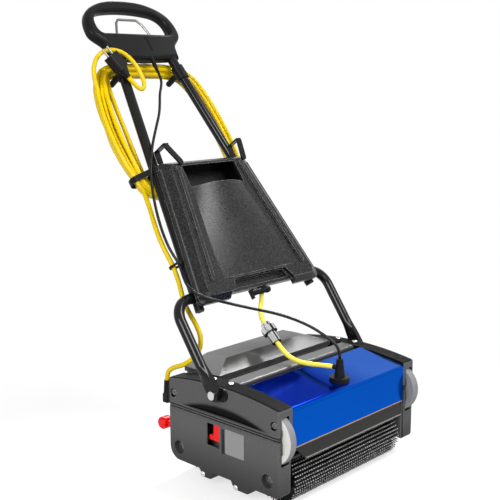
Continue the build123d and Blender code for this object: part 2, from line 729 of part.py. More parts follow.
def pivot_support(side):
    """Upright on the ledge with the handle pivot boss and pads for the top bolts."""
    web_in = HALF_IN + WALL + GAP
    web_out = web_in + FRAME_PLATE
    span = (min(TOP_BOLT_Y) - 2 * BOLT_HEAD_RADIUS, max(TOP_BOLT_Y) + 2 * BOLT_HEAD_RADIUS)
    top = crown_height(max(span)) - WALL - GAP
    support = block((side * web_in, side * web_out), span, (SEAM_HIGH, top))
    boss_out = COVER_IN - GAP
    support += rod_x(side * web_out, side * boss_out, PIVOT_Y, PIVOT_Z, BUSH_RADIUS - WALL)
    bolt_out = HALF_OUT - TOP_BOLT_INSET + BOLT_HEAD_RADIUS
    for y in TOP_BOLT_Y:
        pad_y = (y - BOLT_HEAD_RADIUS, y + BOLT_HEAD_RADIUS)
        support += block((side * web_out, side * bolt_out), pad_y, (PIVOT_Z - BOLT_HEAD_RADIUS, top))
    support -= rod_x(side * web_in, side * boss_out, PIVOT_Y, PIVOT_Z, PIVOT_PIN_RADIUS + FIT)
    for y in TOP_BOLT_Y:
        support -= rod(top_bolt(side, y, SEAM_HIGH + 1), top_bolt(side, y, CROWN_MID), BOLT_RADIUS + FIT)
    return support


def front_cover_points(depth):
    """Corners of the front cover's profile in (Y, Z), a wall's depth inside its outer face."""
    slope = (CROWN_MID - FRONT_COVER_NOSE) / (FRONT_COVER_REAR + HALF_DEPTH)
    rear = FRONT_COVER_REAR - depth
    front = -HALF_DEPTH + depth
    drop = depth * (1 + slope**2) ** 0.5
    rear_top = CROWN_MID - drop + slope * (rear - FRONT_COVER_REAR)
    nose = CROWN_MID - drop + slope * (front - FRONT_COVER_REAR)
    return [(rear, CROWN_MID - REAR_LIP), (rear, rear_top), (front, nose), (front, FRONT_COVER_BOTTOM)]


def front_cover():
    """Painted front cover: sloped top, round nose and upright front, folded from one sheet."""
    outer = front_cover_points(0)
    inner = front_cover_points(WALL)
    points = outer + inner[::-1]
    rounds = {1: WALL, 2: FRONT_BEND, 5: FRONT_BEND - WALL}
    half = HALF_IN - COVER_END_GAP
    cover = yz_prism(polygon(points, rounds), -half, half)
    stem_room = VALVE_STEM_RADIUS + FIT
    return cover - rod(on_valve(DECK_BOTTOM), on_valve(VALVE_TOP), stem_room)


def splash_guard():
    """Clear strip behind the lower edge of the front cover, with its left end cut away."""
    half = HALF_IN - COVER_END_GAP
    top = FRONT_COVER_BOTTOM + GUARD_OVERLAP
    cut = GUARD_BOTTOM + GUARD_CUT[1]
    points = [(-half, top), (-half, cut), (GUARD_CUT[0] - half, cut), (GUARD_CUT_FOOT - half, GUARD_BOTTOM)]
    points += [(half, GUARD_BOTTOM), (half, top)]
    front = -HALF_DEPTH + WALL + FIT
    return extrude(Plane.XZ.offset(-front) * polygon(points), amount=-GUARD_THICKNESS)


def carry_bar():
    """Lifting bar between the caps, with finger gaps before and behind it."""
    width = CARRY_BAR_Y[1] - CARRY_BAR_Y[0]
    centre = (CARRY_BAR_Y[0] + CARRY_BAR_Y[1]) / 2
    face = RectangleRounded(width, CARRY_BAR_THICKNESS, CARRY_BAR_THICKNESS / 3)
    half = HALF_IN - GAP
    return yz_prism(Pos(centre, CROWN_MID - CARRY_BAR_THICKNESS / 2) * face, -half, half)


def hood_form(inset, bottom):
    """Bevelled hood volume, drawn in from its outer faces by inset."""
    depth = HOOD_Y[1] - HOOD_Y[0] - 2 * inset
    top_depth = HOOD_TOP_Y[1] - HOOD_TOP_Y[0] - inset
    foot = Pos(0, sum(HOOD_Y) / 2, HOOD_BASE) * Rectangle(2 * (HOOD_HALF_WIDTH - inset), depth)
    ridge_z = HOOD_TOP - inset
    ridge = Pos(0, sum(HOOD_TOP_Y) / 2, ridge_z) * Rectangle(2 * HOOD_TOP_HALF_WIDTH - inset, top_depth)
    return loft([foot, ridge]) + extrude(foot, amount=bottom - HOOD_BASE)


def rear_hood():
    """Lid of the recovery tank, with a bevelled top and a skirt round the tank's rim."""
    return hood_form(0, HOOD_BASE - HOOD_SKIRT) - hood_form(WALL, HOOD_BASE - HOOD_SKIRT - 1)


def recovery_tank():
    """Open tank for used water, standing on the deck under the hood."""
    half = HOOD_HALF_WIDTH - WALL - LID_FIT
    ys = (HOOD_Y[0] + WALL + LID_FIT, HOOD_Y[1] - WALL - LID_FIT)
    floor = DECK_BOTTOM + DECK
    tank = block((-half, half), ys, (floor, HOOD_BASE - WALL))
    inside = (ys[0] + WALL, ys[1] - WALL)
    return tank - block((WALL - half, half - WALL), inside, (floor + WALL, HOOD_BASE))


def rear_panel():
    """Panel across the back of the housings."""
    half = HALF_OUT - REAR_PANEL_INSET
    face = RectangleRounded(2 * half, REAR_PANEL_Z[1] - REAR_PANEL_Z[0], REAR_PANEL_INSET)
    middle = sum(REAR_PANEL_Z) / 2
    plane = Plane(origin=(0, HALF_DEPTH, middle), x_dir=(1, 0, 0), z_dir=(0, 1, 0))
    return extrude(plane * face, amount=REAR_PANEL_Y - HALF_DEPTH)


def chassis_deck():
    """Deck between the frames, above the brushes."""
    half = HALF_DEPTH - WALL - FIT - GUARD_THICKNESS - DECK_GUARD_GAP
    return block((-HALF_IN, HALF_IN), (-half, half), (DECK_BOTTOM, DECK_BOTTOM + DECK))


def drive_motor():
    """Motor with cooling fins on a foot on the deck."""
    middle = (MOTOR_SPAN[0] + MOTOR_SPAN[1]) / 2
    body = rod_x(*MOTOR_SPAN, 0, MOTOR_Z, MOTOR_RADIUS - WALL)
    ribbed = (middle - MOTOR_FIN_LENGTH / 2, middle + MOTOR_FIN_LENGTH / 2)
    body += rod_x(*ribbed, 0, MOTOR_Z, MOTOR_RADIUS - WALL / 2)
    fin = Pos(MOTOR_RADIUS - WALL, 0) * Rectangle(2 * WALL, WALL)
    fins = Sketch() + [Rot(0, 0, 360 / MOTOR_FINS * i) * fin for i in range(MOTOR_FINS)]
    body += yz_prism(Pos(0, MOTOR_Z) * fins, *ribbed)
    foot_x = (middle - MOTOR_FOOT_LENGTH / 2, middle + MOTOR_FOOT_LENGTH / 2)
    foot_y = (-MOTOR_FOOT_HALF, MOTOR_FOOT_HALF)
    return body + block(foot_x, foot_y, (DECK_BOTTOM + DECK, MOTOR_Z - MOTOR_FOOT_HALF))


def gearbox():
    """Sealed gearbox on the end of the motor, with two outputs that turn opposite ways."""
    ys = (-GEARBOX_HALF_DEPTH, GEARBOX_HALF_DEPTH)
    case = block(GEARBOX_SPAN, ys, (DECK_BOTTOM + DECK, GEARBOX_TOP))
    case = fillet(case.edges().filter_by(Axis.X), 4 * WALL)
    start, end = GEARBOX_SPAN
    for end_y in ENDS:
        case -= rod_x(start + FRAME_PLATE, end + 1, end_y * DRIVE_Y, DRIVE_Z, DRIVE_SHAFT_RADIUS + FIT)
    return case


def pulley_on(x_in, y, z):
    """Flanged belt pulley along X."""
    x_out = x_in + PULLEY_WIDTH
    pulley = rod_x(x_in, x_out, y, z, PULLEY_RADIUS)
    pulley += rod_x(x_in, x_in + PULLEY_FLANGE, y, z, PULLEY_FLANGE_RADIUS)
    return pulley + rod_x(x_out - PULLEY_FLANGE, x_out, y, z, PULLEY_FLANGE_RADIUS)


def drive_pulley(end):
    """Output shaft of the gearbox with its belt pulley."""
    shaft = rod_x(GEARBOX_SPAN[1] - 2 * FRAME_PLATE, PULLEY_OUT, end * DRIVE_Y, DRIVE_Z, DRIVE_SHAFT_RADIUS)
    return shaft + pulley_on(PULLEY_IN, end * DRIVE_Y, DRIVE_Z)


def drive_belt(end):
    """Belt from a gearbox output to a brush pulley."""
    ends = ((end * DRIVE_Y, DRIVE_Z), (end * BRUSH_Y, BRUSH_Z))
    inner = PULLEY_RADIUS + GAP
    outer_face = hull_face([(y, z, inner + BELT_THICKNESS) for y, z in ends])
    inner_face = hull_face([(y, z, inner) for y, z in ends])
    room = PULLEY_FLANGE + GAP
    return yz_prism(outer_face - inner_face, PULLEY_IN + room, PULLEY_OUT - room)


def brush_core(end):
    """Brush tube on a shaft that runs through both frames and carries the pulley."""
    y = end * BRUSH_Y
    half = BRUSH_LENGTH / 2
    core = rod_x(-half, half, y, BRUSH_Z, BRUSH_CORE_RADIUS)
    core += rod_x(-FRAME_OUT - WALL, PULLEY_OUT, y, BRUSH_Z, BRUSH_SHAFT_RADIUS)
    return core + pulley_on(PULLEY_IN, y, BRUSH_Z)


def bristle_sleeve(end):
    """Rows of bristle tufts round a brush core."""
    pitch = 2 * pi / TUFT_ROWS
    points = []
    for row in range(TUFT_ROWS):
        middle = -pi / 2 + row * pitch
        for share, radius in ((-0.44, -TUFT_DEPTH), (-0.28, 0), (0, 0), (0.28, 0), (0.44, -TUFT_DEPTH)):
            reach = BRUSH_RADIUS + radius
            points.append((reach * cos(middle + share * pitch), reach * sin(middle + share * pitch)))
    face = polygon(points) - Circle(BRUSH_CORE_RADIUS + FIT)
    half = BRUSH_LENGTH / 2 - 1
    return yz_prism(Pos(end * BRUSH_Y, BRUSH_Z) * face, -half, half)


def brush_bearing(side, end):
    """Plain bearing in a frame lobe."""
    ring = Circle(BEARING_RADIUS) - Circle(BRUSH_SHAFT_RADIUS + FIT)
    return yz_prism(Pos(end * BRUSH_Y, BRUSH_Z) * ring, side * HALF_IN, side * FRAME_OUT)


def pickup_drum():
    """Drum that lifts water off the floor between the brushes."""
    half = DRUM_LENGTH / 2
    drum = rod_x(-half, half, 0, DRUM_Z, DRUM_RADIUS)
    for end in ENDS:
        drum -= rod_x(end * (half - DRUM_RIM), end * half, 0, DRUM_Z, DRUM_RADIUS - 2 * WALL)
    drum += rod_x(-half, half, 0, DRUM_Z, 3 * DRUM_SHAFT_RADIUS)
    shaft_half = half + ARM_PLATE + GAP
    return drum + rod_x(-shaft_half, shaft_half, 0, DRUM_Z, DRUM_SHAFT_RADIUS)


def carriage_arm(side):
    """Arm that carries one end of the drum and slides on a key in the frame."""
    inner = DRUM_LENGTH / 2 + GAP
    outer = inner + ARM_PLATE
    shoulder = ARM_TOP - ARM_HEAD
    half = ARM_HALF_WIDTH
    profile = [(-half, ARM_BOTTOM), (half, ARM_BOTTOM), (half, shoulder)]
    profile += [(ARM_REACH, shoulder), (ARM_REACH, ARM_TOP), (-half, ARM_TOP)]
    arm = yz_prism(polygon(profile), side * inner, side * outer)
    key_y = (-KEY_WIDTH / 2, KEY_WIDTH / 2)
    key_z = (DRUM_Z - KEY_HEIGHT / 2, DRUM_Z + KEY_HEIGHT / 2)
    arm += block((side * outer, side * FRAME_OUT), key_y, key_z)
    return arm - rod_x(side * inner, side * (outer + FIT), 0, DRUM_Z, DRUM_SHAFT_RADIUS + FIT)


def drum_scraper():
    """Rubber blade between the carriage arms, close to the drum."""
    reach = (DRUM_RADIUS + SCRAPER_GAP) * cos(pi / 4)
    tip = (reach, DRUM_Z + reach)
    heel = ARM_REACH - WALL
    blade = polygon([tip, (tip[0] + WALL, tip[1] - 1), (heel, ARM_TOP - WALL), (heel - WALL, ARM_TOP)])
    half = DRUM_LENGTH / 2
    return yz_prism(blade, -half, half)


def drum_lever():
    """Lever with a paddle and toe that shows in the window."""
    outer = COVER_IN - LEVER_FACE_GAP
    hub_end = (sum(PADDLE_Y) / 2, LEVER_PIVOT[1], LEVER_HUB_RADIUS)
    hub = hull_face([(*LEVER_PIVOT, LEVER_HUB_RADIUS), hub_end])
    front, rear = PADDLE_Y
    low, high = PADDLE_Z
    points = [(front, low), (TOE_Y, low), (TOE_Y, TOE_Z), (rear, TOE_Z), (rear, high), (front, high)]
    paddle = polygon(points, {1: TOE_ROUND, 2: TOE_ROUND, 3: PADDLE_ROUND, 4: PADDLE_ROUND, 5: PADDLE_ROUND})
    inner = outer - LEVER_THICKNESS
    lever = yz_prism(paddle, LEFT * inner, LEFT * outer)
    lever += yz_prism(hub, LEFT * inner, LEFT * (inner + LEVER_HUB_WIDTH))
    return lever - rod_x(LEFT * FRAME_OUT, LEFT * HALF_OUT, *LEVER_PIVOT, LEVER_PIN_RADIUS + FIT)


def pedal_arm_span():
    """Outer and inner x of the foot pedal's arm."""
    outer = COVER_IN - PEDAL_OUTER_GAP
    return LEFT * (outer - PEDAL_ARM_WIDTH), LEFT * outer


def foot_pedal():
    """Sprung foot pedal with a round knob behind the left housing."""
    inner, outer = pedal_arm_span()
    arm = hull_face([(*PEDAL_PIVOT, LEVER_HUB_RADIUS), (*PEDAL_KNOB, PEDAL_ARM / 2)])
    pedal = yz_prism(arm, inner, outer)
    middle = (inner + outer) / 2
    knob_half = PEDAL_KNOB_WIDTH / 2
    knob = rod_x(middle - knob_half, middle + knob_half, *PEDAL_KNOB, PEDAL_KNOB_RADIUS)
    pedal += fillet(knob.edges().filter_by(GeomType.CIRCLE), PEDAL_KNOB_RADIUS / 3)
    return pedal - rod_x(inner, outer, *PEDAL_PIVOT, LEVER_PIN_RADIUS + FIT)


def bumper_wheel(side):
    """Moulded wheel with a crowned tread, a dished web and a hub."""
    half = WHEEL_WIDTH / 2
    shoulder = WHEEL_RADIUS - WHEEL_CROWN
    edge = half - WHEEL_CHAMFER
    tread = ThreePointArc((shoulder, -edge), (WHEEL_RADIUS, 0), (shoulder, edge))
    rim = WHEEL_RADIUS - WHEEL_RIM
    hub = AXLE_RADIUS + WHEEL_HUB
    web = half - WHEEL_DISH
    flank = [(shoulder - WHEEL_CHAMFER, half), (rim, half), (rim - WHEEL_RIM_SLOPE, web)]
    flank += [(hub + WHEEL_HUB_SLOPE, web), (hub, half), (AXLE_RADIUS + FIT, half)]
    other_flank = [(radius, -height) for radius, height in flank[::-1]]
    sides = Polyline(tread @ 1, *flank, *other_flank, tread @ 0)
    wheel = revolve(make_face(Curve() + tread + sides), axis=Axis.Y)
    middle = side * (WHEEL_IN + half)
    return Plane(origin=(middle, WHEEL_Y, WHEEL_Z), x_dir=(0, 1, 0), z_dir=(0, 0, 1)).location * wheel


def wheel_axle(side):
    """Axle of a bumper wheel, fixed in the frame plate."""
    return rod_x(side * (HALF_IN + 1), side * (COVER_IN - GAP), WHEEL_Y, WHEEL_Z, AXLE_RADIUS)


def cover_screw(side, y, z, depth):
    """Screw in a recess of a cover."""
    seat = HALF_OUT - depth
    head = rod_x(side * seat, side * (seat + SCREW_HEAD), y, z, SCREW_HEAD_RADIUS)
    return head + rod_x(side * (seat - WALL), side * seat, y, z, SCREW_RADIUS)


def domed_bolt(seat, tip):
    """Bolt with a domed head on a seat and its shank towards the tip."""
    outward = (Vector(*seat) - Vector(*tip)).normalized()
    top = Vector(*seat) + outward * BOLT_HEAD
    head = rod(seat, top, BOLT_HEAD_RADIUS)
    rims = head.edges().filter_by(GeomType.CIRCLE)
    far_rim = min(rims, key=lambda rim: (rim.arc_center - top).length)
    return fillet(far_rim, BOLT_DOME) + rod(tip, seat, BOLT_RADIUS)


def housing_bolts(side):
    """Bolts through the lugs and through the top of one housing."""
    bolts = []
    for y, z in lug_bolt_places():
        bolts.append(domed_bolt((side * HALF_OUT, y, z), (side * (COVER_IN - 2 * WALL), y, z)))
    for y in TOP_BOLT_Y:
        seat = crown_height(abs(y) + BOLT_HEAD_RADIUS) + GAP + WALL / 2
        bolts.append(domed_bolt(top_bolt(side, y, seat), top_bolt(side, y, PIVOT_Z)))
    return bolts


def on_valve(z):
    """A point on the upright axis of the feed valve."""
    return (0, VALVE_Y, z)


def feed_valve():
    """Valve on the front cover: flange, cable boot, hose barb and a stem down to the spray bar."""
    flange = rod(on_valve(FRONT_COVER_NOSE - WALL), on_valve(VALVE_FLANGE_TOP), VALVE_FLANGE_RADIUS)
    far = 2 * HALF_DEPTH
    rear_top, nose = front_cover_points(0)[1:3]
    under = [(rear_top[0] + far, rear_top[1]), rear_top, nose, (-far, nose[1]), (-far, 0), (far, 0)]
    flange -= yz_prism(polygon(under), -HALF_IN, HALF_IN)
    boot = rod(on_valve(VALVE_FLANGE_TOP), on_valve(VALVE_TOP), *VALVE_CONE)
    stem = rod(on_valve(STEM_FOOT), on_valve(VALVE_FLANGE_TOP), VALVE_STEM_RADIUS)
    barb = rod(on_valve(BARB_END[2]), BARB_END, HOSE_DIAMETER / 2)
    return flange + boot + stem + barb


def spray_bar():
    """Perforated bar on the deck that wets the front brush."""
    half = HALF_IN - SPRAY_BAR_END_GAP
    bar = rod_x(-half, half, VALVE_Y, STEM_FOOT - SPRAY_BAR_RADIUS, SPRAY_BAR_RADIUS)
    return bar - rod(on_valve(STEM_FOOT), on_valve(VALVE_TOP), VALVE_STEM_RADIUS)


def mains_gland():
    """Gland block on the rear panel with a tapered strain relief pointing up."""
    half = GLAND_RADII[0]
    width = (GLAND_X - half, GLAND_X + half)
    body = block(width, (REAR_PANEL_Y, GLAND_Y + half), (REAR_PANEL_Z[0], GLAND_BLOCK_TOP))
    body = fillet(body.edges().filter_by(Axis.Z), WALL)
    return body + rod((GLAND_X, GLAND_Y, GLAND_BLOCK_TOP), (GLAND_X, GLAND_Y, GLAND_TOP), *GLAND_RADII)


def lever_plate():
    """Bare metal plate beside the lever window."""
    width = PLATE_Y[1] - PLATE_Y[0]
    height = PLATE_Z[1] - PLATE_Z[0]
    face = Pos(sum(PLATE_Y) / 2, sum(PLATE_Z) / 2) * RectangleRounded(width, height, PLATE_CORNER)
    return yz_prism(face, LEFT * HALF_OUT, LEFT * (HALF_OUT + PLATE_THICKNESS))


def pivot_bolt(side):
    """Shoulder bolt that the handle turns on."""
    head_in = PAD_OUT + GAP
    start = side * (HALF_IN + WALL + 2 * GAP)
    shank = rod_x(start, side * head_in, PIVOT_Y, PIVOT_Z, PIVOT_PIN_RADIUS)
    head = rod_x(side * head_in, side * (head_in + PIVOT_HEAD), PIVOT_Y, PIVOT_Z, PIVOT_HEAD_RADIUS)
    return shank + head


def pivot_bush(side):
    """Oblong bush plate between a cap and the yoke."""
    face = hull_face([(PIVOT_Y, PIVOT_Z, BUSH_RADIUS), (PIVOT_Y - BUSH_OFFSET, PIVOT_Z, BUSH_RADIUS)])
    face -= Pos(PIVOT_Y, PIVOT_Z) * Circle(PIVOT_PIN_RADIUS + FIT)
    return yz_prism(face, side * HALF_OUT, side * (HALF_OUT + BUSH))


def tube_axis(side, along, off=0.0):
    """Point on the axis of a handle tube, in handle coordinates."""
    return Vector(side * (TUBE_FOOT_X - TUBE_SLOPE * (along - YOKE_CROSS)), along, off)


def yoke():
    """Bent tube with flattened, drilled ends that straddles the base."""
    right = [(YOKE_ARM_X, YOKE_CROSS), (YOKE_ARM_X, FLARE_END)]
    left = [(-x, s) for x, s in right[::-1]]
    path = FilletPolyline(*left, *right, radius=YOKE_BEND)
    start = Plane(origin=path @ 0, z_dir=path % 0)
    tube = sweep(start * Circle(TUBE_RADIUS), path=path)
    tube -= sweep(start * Circle(TUBE_RADIUS - TUBE_WALL), path=path)
    for side in SIDES:
        tube += yoke_end(side)
        axis = tube_axis(side, YOKE_CROSS + 2 * TUBE_RADIUS) - tube_axis(side, YOKE_CROSS)
        below = tube_axis(side, YOKE_CROSS) - axis
        tube -= rod(below, tube_axis(side, YOKE_CROSS) + axis, STUD_RADIUS + GAP)
    return on_handle(tube)


def yoke_end(side):
    """Flattened end of a yoke arm with its pivot bore."""
    pad_middle = side * (PAD_IN + PAD_OUT) / 2
    half = PAD_WIDTH / 2
    pad = yz_prism(hull_face([(0, 0, half), (PAD_LENGTH - half, 0, half)]), side * PAD_IN, side * PAD_OUT)
    pad += block((side * PAD_IN, side * PAD_OUT), (0, PAD_LENGTH), (-half, half))
    foot = Plane(origin=(pad_middle, PAD_LENGTH, 0), x_dir=(1, 0, 0), z_dir=(0, 1, 0))
    head = Plane(origin=(side * YOKE_ARM_X, FLARE_END, 0), x_dir=(1, 0, 0), z_dir=(0, 1, 0))
    flare = loft([foot * Rectangle(PAD_THICKNESS, PAD_WIDTH), head * Circle(TUBE_RADIUS)])
    return pad + flare - rod_x(side * PAD_IN, side * PAD_OUT, 0, 0, PIVOT_PIN_RADIUS + FIT)


def handle_tube(side):
    """Straight handle tube, coped onto the cross bar of the yoke."""
    foot = tube_axis(side, YOKE_CROSS)
    end = tube_axis(side, TUBE_END)
    tube = rod(foot, end, TUBE_RADIUS) - rod(foot, end, TUBE_RADIUS - TUBE_WALL)
    reach = side * 2 * TUBE_RADIUS
    cope = rod_x(foot.X - reach, foot.X + reach, YOKE_CROSS, 0, TUBE_RADIUS + GAP)
    return on_handle(tube - cope)


def clamp_knob(side):
    """Hand knob under the cross bar, with its stud up into the handle tube."""
    centre = tube_axis(side, YOKE_CROSS)
    up = (tube_axis(side, YOKE_CROSS + 1) - centre).normalized()
    knob_top = centre - up * KNOB_SADDLE
    knob_end = knob_top - up * KNOB_LENGTH
    lobe = Pos(KNOB_RADIUS, 0) * Circle(KNOB_LOBE_RADIUS)
    lobes = [Rot(0, 0, 360 / KNOB_LOBES * i) * lobe for i in range(KNOB_LOBES)]
    knob = extrude(Plane(origin=knob_top, z_dir=-up) * (Circle(KNOB_RADIUS) + lobes), amount=KNOB_LENGTH)
    reach = 2 * KNOB_RADIUS
    knob -= rod_x(centre.X - reach, centre.X + reach, YOKE_CROSS, 0, TUBE_RADIUS + GAP)
    return on_handle(knob + rod(knob_end, centre + up * STUD_REACH, STUD_RADIUS))


def mirrored_face(half_edges):
    """Face bounded by edges from the middle line to the middle line and their mirror images."""
    edges = [edge for curve in half_edges for edge in curve.edges()]
    edges += [edge.mirror(Plane.YZ) for edge in edges]
    return make_face(edges)


def head_outline():
    """Outer outline of the handle head in (x, along): foot, waist and grip loop."""
    foot = Polyline((0, HEAD_BOTTOM), HEAD_FOOT, HEAD_WAIST)
    waist = Spline(HEAD_WAIST, HEAD_SIDE, tangents=((0.3, 1), (0, 1)))
    loop = Spline(HEAD_SIDE, HEAD_SHOULDER, (0, HEAD_TOP), tangents=((0, 1), (-1, 0)))
    return mirrored_face((foot, waist, loop))


def grip_outline():
    """Outline of the grip opening in (x, along)."""
    base = Line((0, GRIP_BOTTOM), GRIP_CORNER)
    side = Spline(GRIP_CORNER, GRIP_SIDE, tangents=((1, 0), (0, 1)))
    loop = Spline(GRIP_SIDE, GRIP_SHOULDER, (0, GRIP_TOP), tangents=((0, 1), (-1, 0)))
    return mirrored_face((base, side, loop))


def handle_shell(facing):
    """Half of the handle head, split in the plane of the tubes. facing is 1 in front and -1 behind."""
    shell = extrude(head_outline() - grip_outline(), amount=facing * HEAD_HALF_THICKNESS)
    face = shell.faces().sort_by(Axis.Z)[-1 if facing == 1 else 0]
    shell = fillet(face.edges(), HEAD_ROUND)
    for side in SIDES:
        foot = tube_axis(side, HEAD_BOTTOM - TUBE_RADIUS)
        shell -= rod(foot, tube_axis(side, TUBE_END + 1), TUBE_RADIUS + FIT)
        x = side * BAIL_FOOT[0]
        low = BAIL_FOOT[1] - BAIL_RADIUS
        shell -= rod((x, low, 0), (x, GRIP_BOTTOM + 1, 0), BAIL_RADIUS + FIT)
    if facing == 1:
        slot = SlotOverall(INLAY_S[1] - INLAY_S[0], INLAY_WIDTH, rotation=90)
        shell -= extrude(Pos(INLAY_X, sum(INLAY_S) / 2, HEAD_HALF_THICKNESS) * slot, amount=-INLAY_DEPTH)
        shell -= rod(on_ferrule(HEAD_BOTTOM - 1), on_ferrule(FERRULE_TOP), FERRULE_RADIUS + FIT)
    return on_handle(shell)


def on_ferrule(along):
    """A point on the axis of the cable ferrule, in handle coordinates."""
    return (FERRULE_X, along, FERRULE_OFF)


def bail():
    """Wire bail in the grip opening, sliding on its two feet."""
    right = [BAIL_FOOT, BAIL_KNEE, BAIL_SHOULDER, (BAIL_SHOULDER[0] - BAIL_CORNER, BAIL_TOP)]
    points = [(-x, s) for x, s in right] + right[::-1]
    path = FilletPolyline(*points, radius=BAIL_BEND)
    section = Plane(origin=path @ 0, z_dir=path % 0) * Circle(BAIL_RADIUS)
    return on_handle(sweep(section, path=path))


def cable_ferrule():
    """Stepped ferrule where the control cable leaves the handle head."""
    step = on_ferrule(HEAD_BOTTOM - FERRULE_LENGTH / 2)
    taper = rod(on_ferrule(FERRULE_END), step, CABLE_DIAMETER / 2, FERRULE_RADIUS)
    return on_handle(taper + rod(step, on_ferrule(FERRULE_TOP), FERRULE_RADIUS))


def cord_hook(side):
    """Collar on a handle tube with a peg that holds the cord."""
    low = tube_axis(side, HOOK_S[0])
    high = tube_axis(side, HOOK_S[1])
    collar = rod(low, high, HOOK_RADIUS)
    peg_foot = tube_axis(side, PEG_S)
    peg = rod(peg_foot, peg_foot - Vector(0, 0, PEG_REACH), PEG_RADIUS)
    tip = peg.edges().filter_by(GeomType.CIRCLE).sort_by(Axis.Z)[0]
    hook = collar + fillet(tip, PEG_ROUND)
    axis = high - low
    return on_handle(hook - rod(low - axis, high + axis, TUBE_RADIUS + FIT))


def tank_half_width(along):
    """Half width of the solution tank at a distance along the handle."""
    share = (along - TANK_BOTTOM) / (TANK_TOP - TANK_BOTTOM)
    return TANK_FOOT_HALF + share * (TANK_HEAD_HALF - TANK_FOOT_HALF)


def trapezoid(low, high, low_half, high_half, corner):
    """Upright trapezoid in (x, along) with rounded corners."""
    points = [(-low_half, low), (low_half, low), (high_half, high), (-high_half, high)]
    return polygon(points, {i: corner for i in range(4)})


def tank_outline(inset=0.0):
    """Front outline of the solution tank."""
    low_half = tank_half_width(TANK_BOTTOM) - inset
    high_half = tank_half_width(TANK_TOP) - inset
    return trapezoid(TANK_BOTTOM + inset / 2, TANK_TOP - inset / 2, low_half, high_half, TANK_CORNER)


def solution_tank():
    """Moulded tank: flange over the tubes, raised face with a bulge, ribs, hand recess and foot notch."""
    body = extrude(Pos(0, 0, FLANGE_LOW) * tank_outline(), amount=TANK_FLANGE)
    face = Pos(0, 0, TANK_FACE) * tank_outline(TANK_FACE_INSET)
    body += loft([Pos(0, 0, FLANGE_HIGH) * tank_outline(), face])
    beside = TUBE_RADIUS + TANK_BACK_CLEARANCE
    high_half = tube_axis(RIGHT, TANK_TOP).X - beside
    clear = YOKE_CROSS + TUBE_RADIUS + TANK_BACK_CLEARANCE
    clear_half = tube_axis(RIGHT, clear).X - beside
    back = trapezoid(clear, TANK_TOP, clear_half, high_half, TANK_CORNER)
    body += extrude(Pos(0, 0, TANK_BACK) * back, amount=FLANGE_HIGH - TANK_BACK)
    body += tank_bulge()
    for side in SIDES:
        ends = [(side * x, s, RIB_WIDTH / 2) for x, s in zip(RIB_HALF, RIB_S)]
        rib = hull_face(ends) + Pos(side * RIB_HALF[0], RIB_S[0]) * Circle(RIB_BOSS)
        body += extrude(Pos(0, 0, FLANGE_HIGH) * rib, amount=TANK_FACE + RIB_RISE - FLANGE_HIGH)
        body += rod(*[tank_side(side, s, BEAD_OVER - BEAD_RADIUS, BEAD_OFF) for s in BEAD_S], BEAD_RADIUS)
    recess = trapezoid(*HAND_RECESS_S, HAND_RECESS_HALF, HAND_RECESS_HALF, WALL)
    body -= extrude(Pos(0, 0, HAND_RECESS_FLOOR) * recess, amount=2 * TANK_FACE)
    notch = trapezoid(NOTCH_S[0] - 1, NOTCH_S[1], *NOTCH_HALF, WALL)
    body -= extrude(Pos(0, 0, NOTCH_FLOOR) * notch, amount=TANK_FACE)
    body -= extrude(Pos(0, 0, POCKET_FLOOR) * trapezoid(*POCKET_S, *POCKET_HALF, WALL), amount=TANK_FACE)
    body -= block((-NOTCH_HALF[0], NOTCH_HALF[0]), (TANK_BOTTOM - 1, LIP_BOTTOM), (0, TANK_FACE))
    for side in SIDES:
        for low, high in SADDLE_S:
            middle = tube_axis(side, (low + high) / 2).X
            width = (middle - SADDLE_WIDTH / 2, middle + SADDLE_WIDTH / 2)
            body += block(width, (low, high), (TUBE_RADIUS + GAP, FLANGE_HIGH))
    return on_handle(body)


def tank_side(side, along, beyond_flange, off):
    """Point beside the flange of the tank, in handle coordinates."""
    return (side * (tank_half_width(along) + beyond_flange), along, off)


def tank_bulge():
    """Bulge of the tank's face between the ribs: high at the hand recess and nearly flat at the foot."""
    sections = []
    foot = TANK_FACE - DOME_FOOT
    for along, half, rise in zip(DOME_S, DOME_HALF, DOME_RISE):
        arch = ThreePointArc((-half, foot), (0, TANK_FACE + rise), (half, foot))
        base = Polyline(arch @ 1, (half, FLANGE_HIGH), (-half, FLANGE_HIGH), arch @ 0)
        plane = Plane(origin=(0, along, 0), x_dir=(1, 0, 0), z_dir=(0, -1, 0))
        sections.append(plane * make_face(Curve() + arch + base))
    return loft(sections)


def tank_clip(side):
    """Clip with an upright from a handle tube and a rounded paddle over the tank's top edge."""
    on_tube, apex = CLIP_S
    start_off = TUBE_RADIUS + GAP
    sheet = CLIP_THICKNESS
    knee = start_off + CLIP_LEAN
    outline = [(on_tube, start_off), (apex, knee), (apex, CLIP_APEX_OFF), (apex - sheet, CLIP_APEX_OFF)]
    outline += [(apex - sheet, knee + sheet), (on_tube, start_off + sheet)]
    half = CLIP_WIDTH / 2
    upright = yz_prism(polygon(outline), side * (CLIP_X - half), side * (CLIP_X + half))
    turn = radians(PADDLE_TURN[side])
    across = Vector(cos(turn), -side * sin(turn), 0)
    run = PADDLE_RUN[side]
    down = Vector(-side * sin(turn) * run, -cos(turn) * run, -PADDLE_DROP)
    start = Vector(side * CLIP_X, apex - half, CLIP_APEX_OFF - PADDLE_THICKNESS)
    plane = Plane(origin=start, x_dir=down, z_dir=down.cross(across))
    paddle = extrude(plane * hull_face([(0, 0, half), (down.length, 0, half)]), amount=PADDLE_THICKNESS)
    return on_handle(upright + paddle)


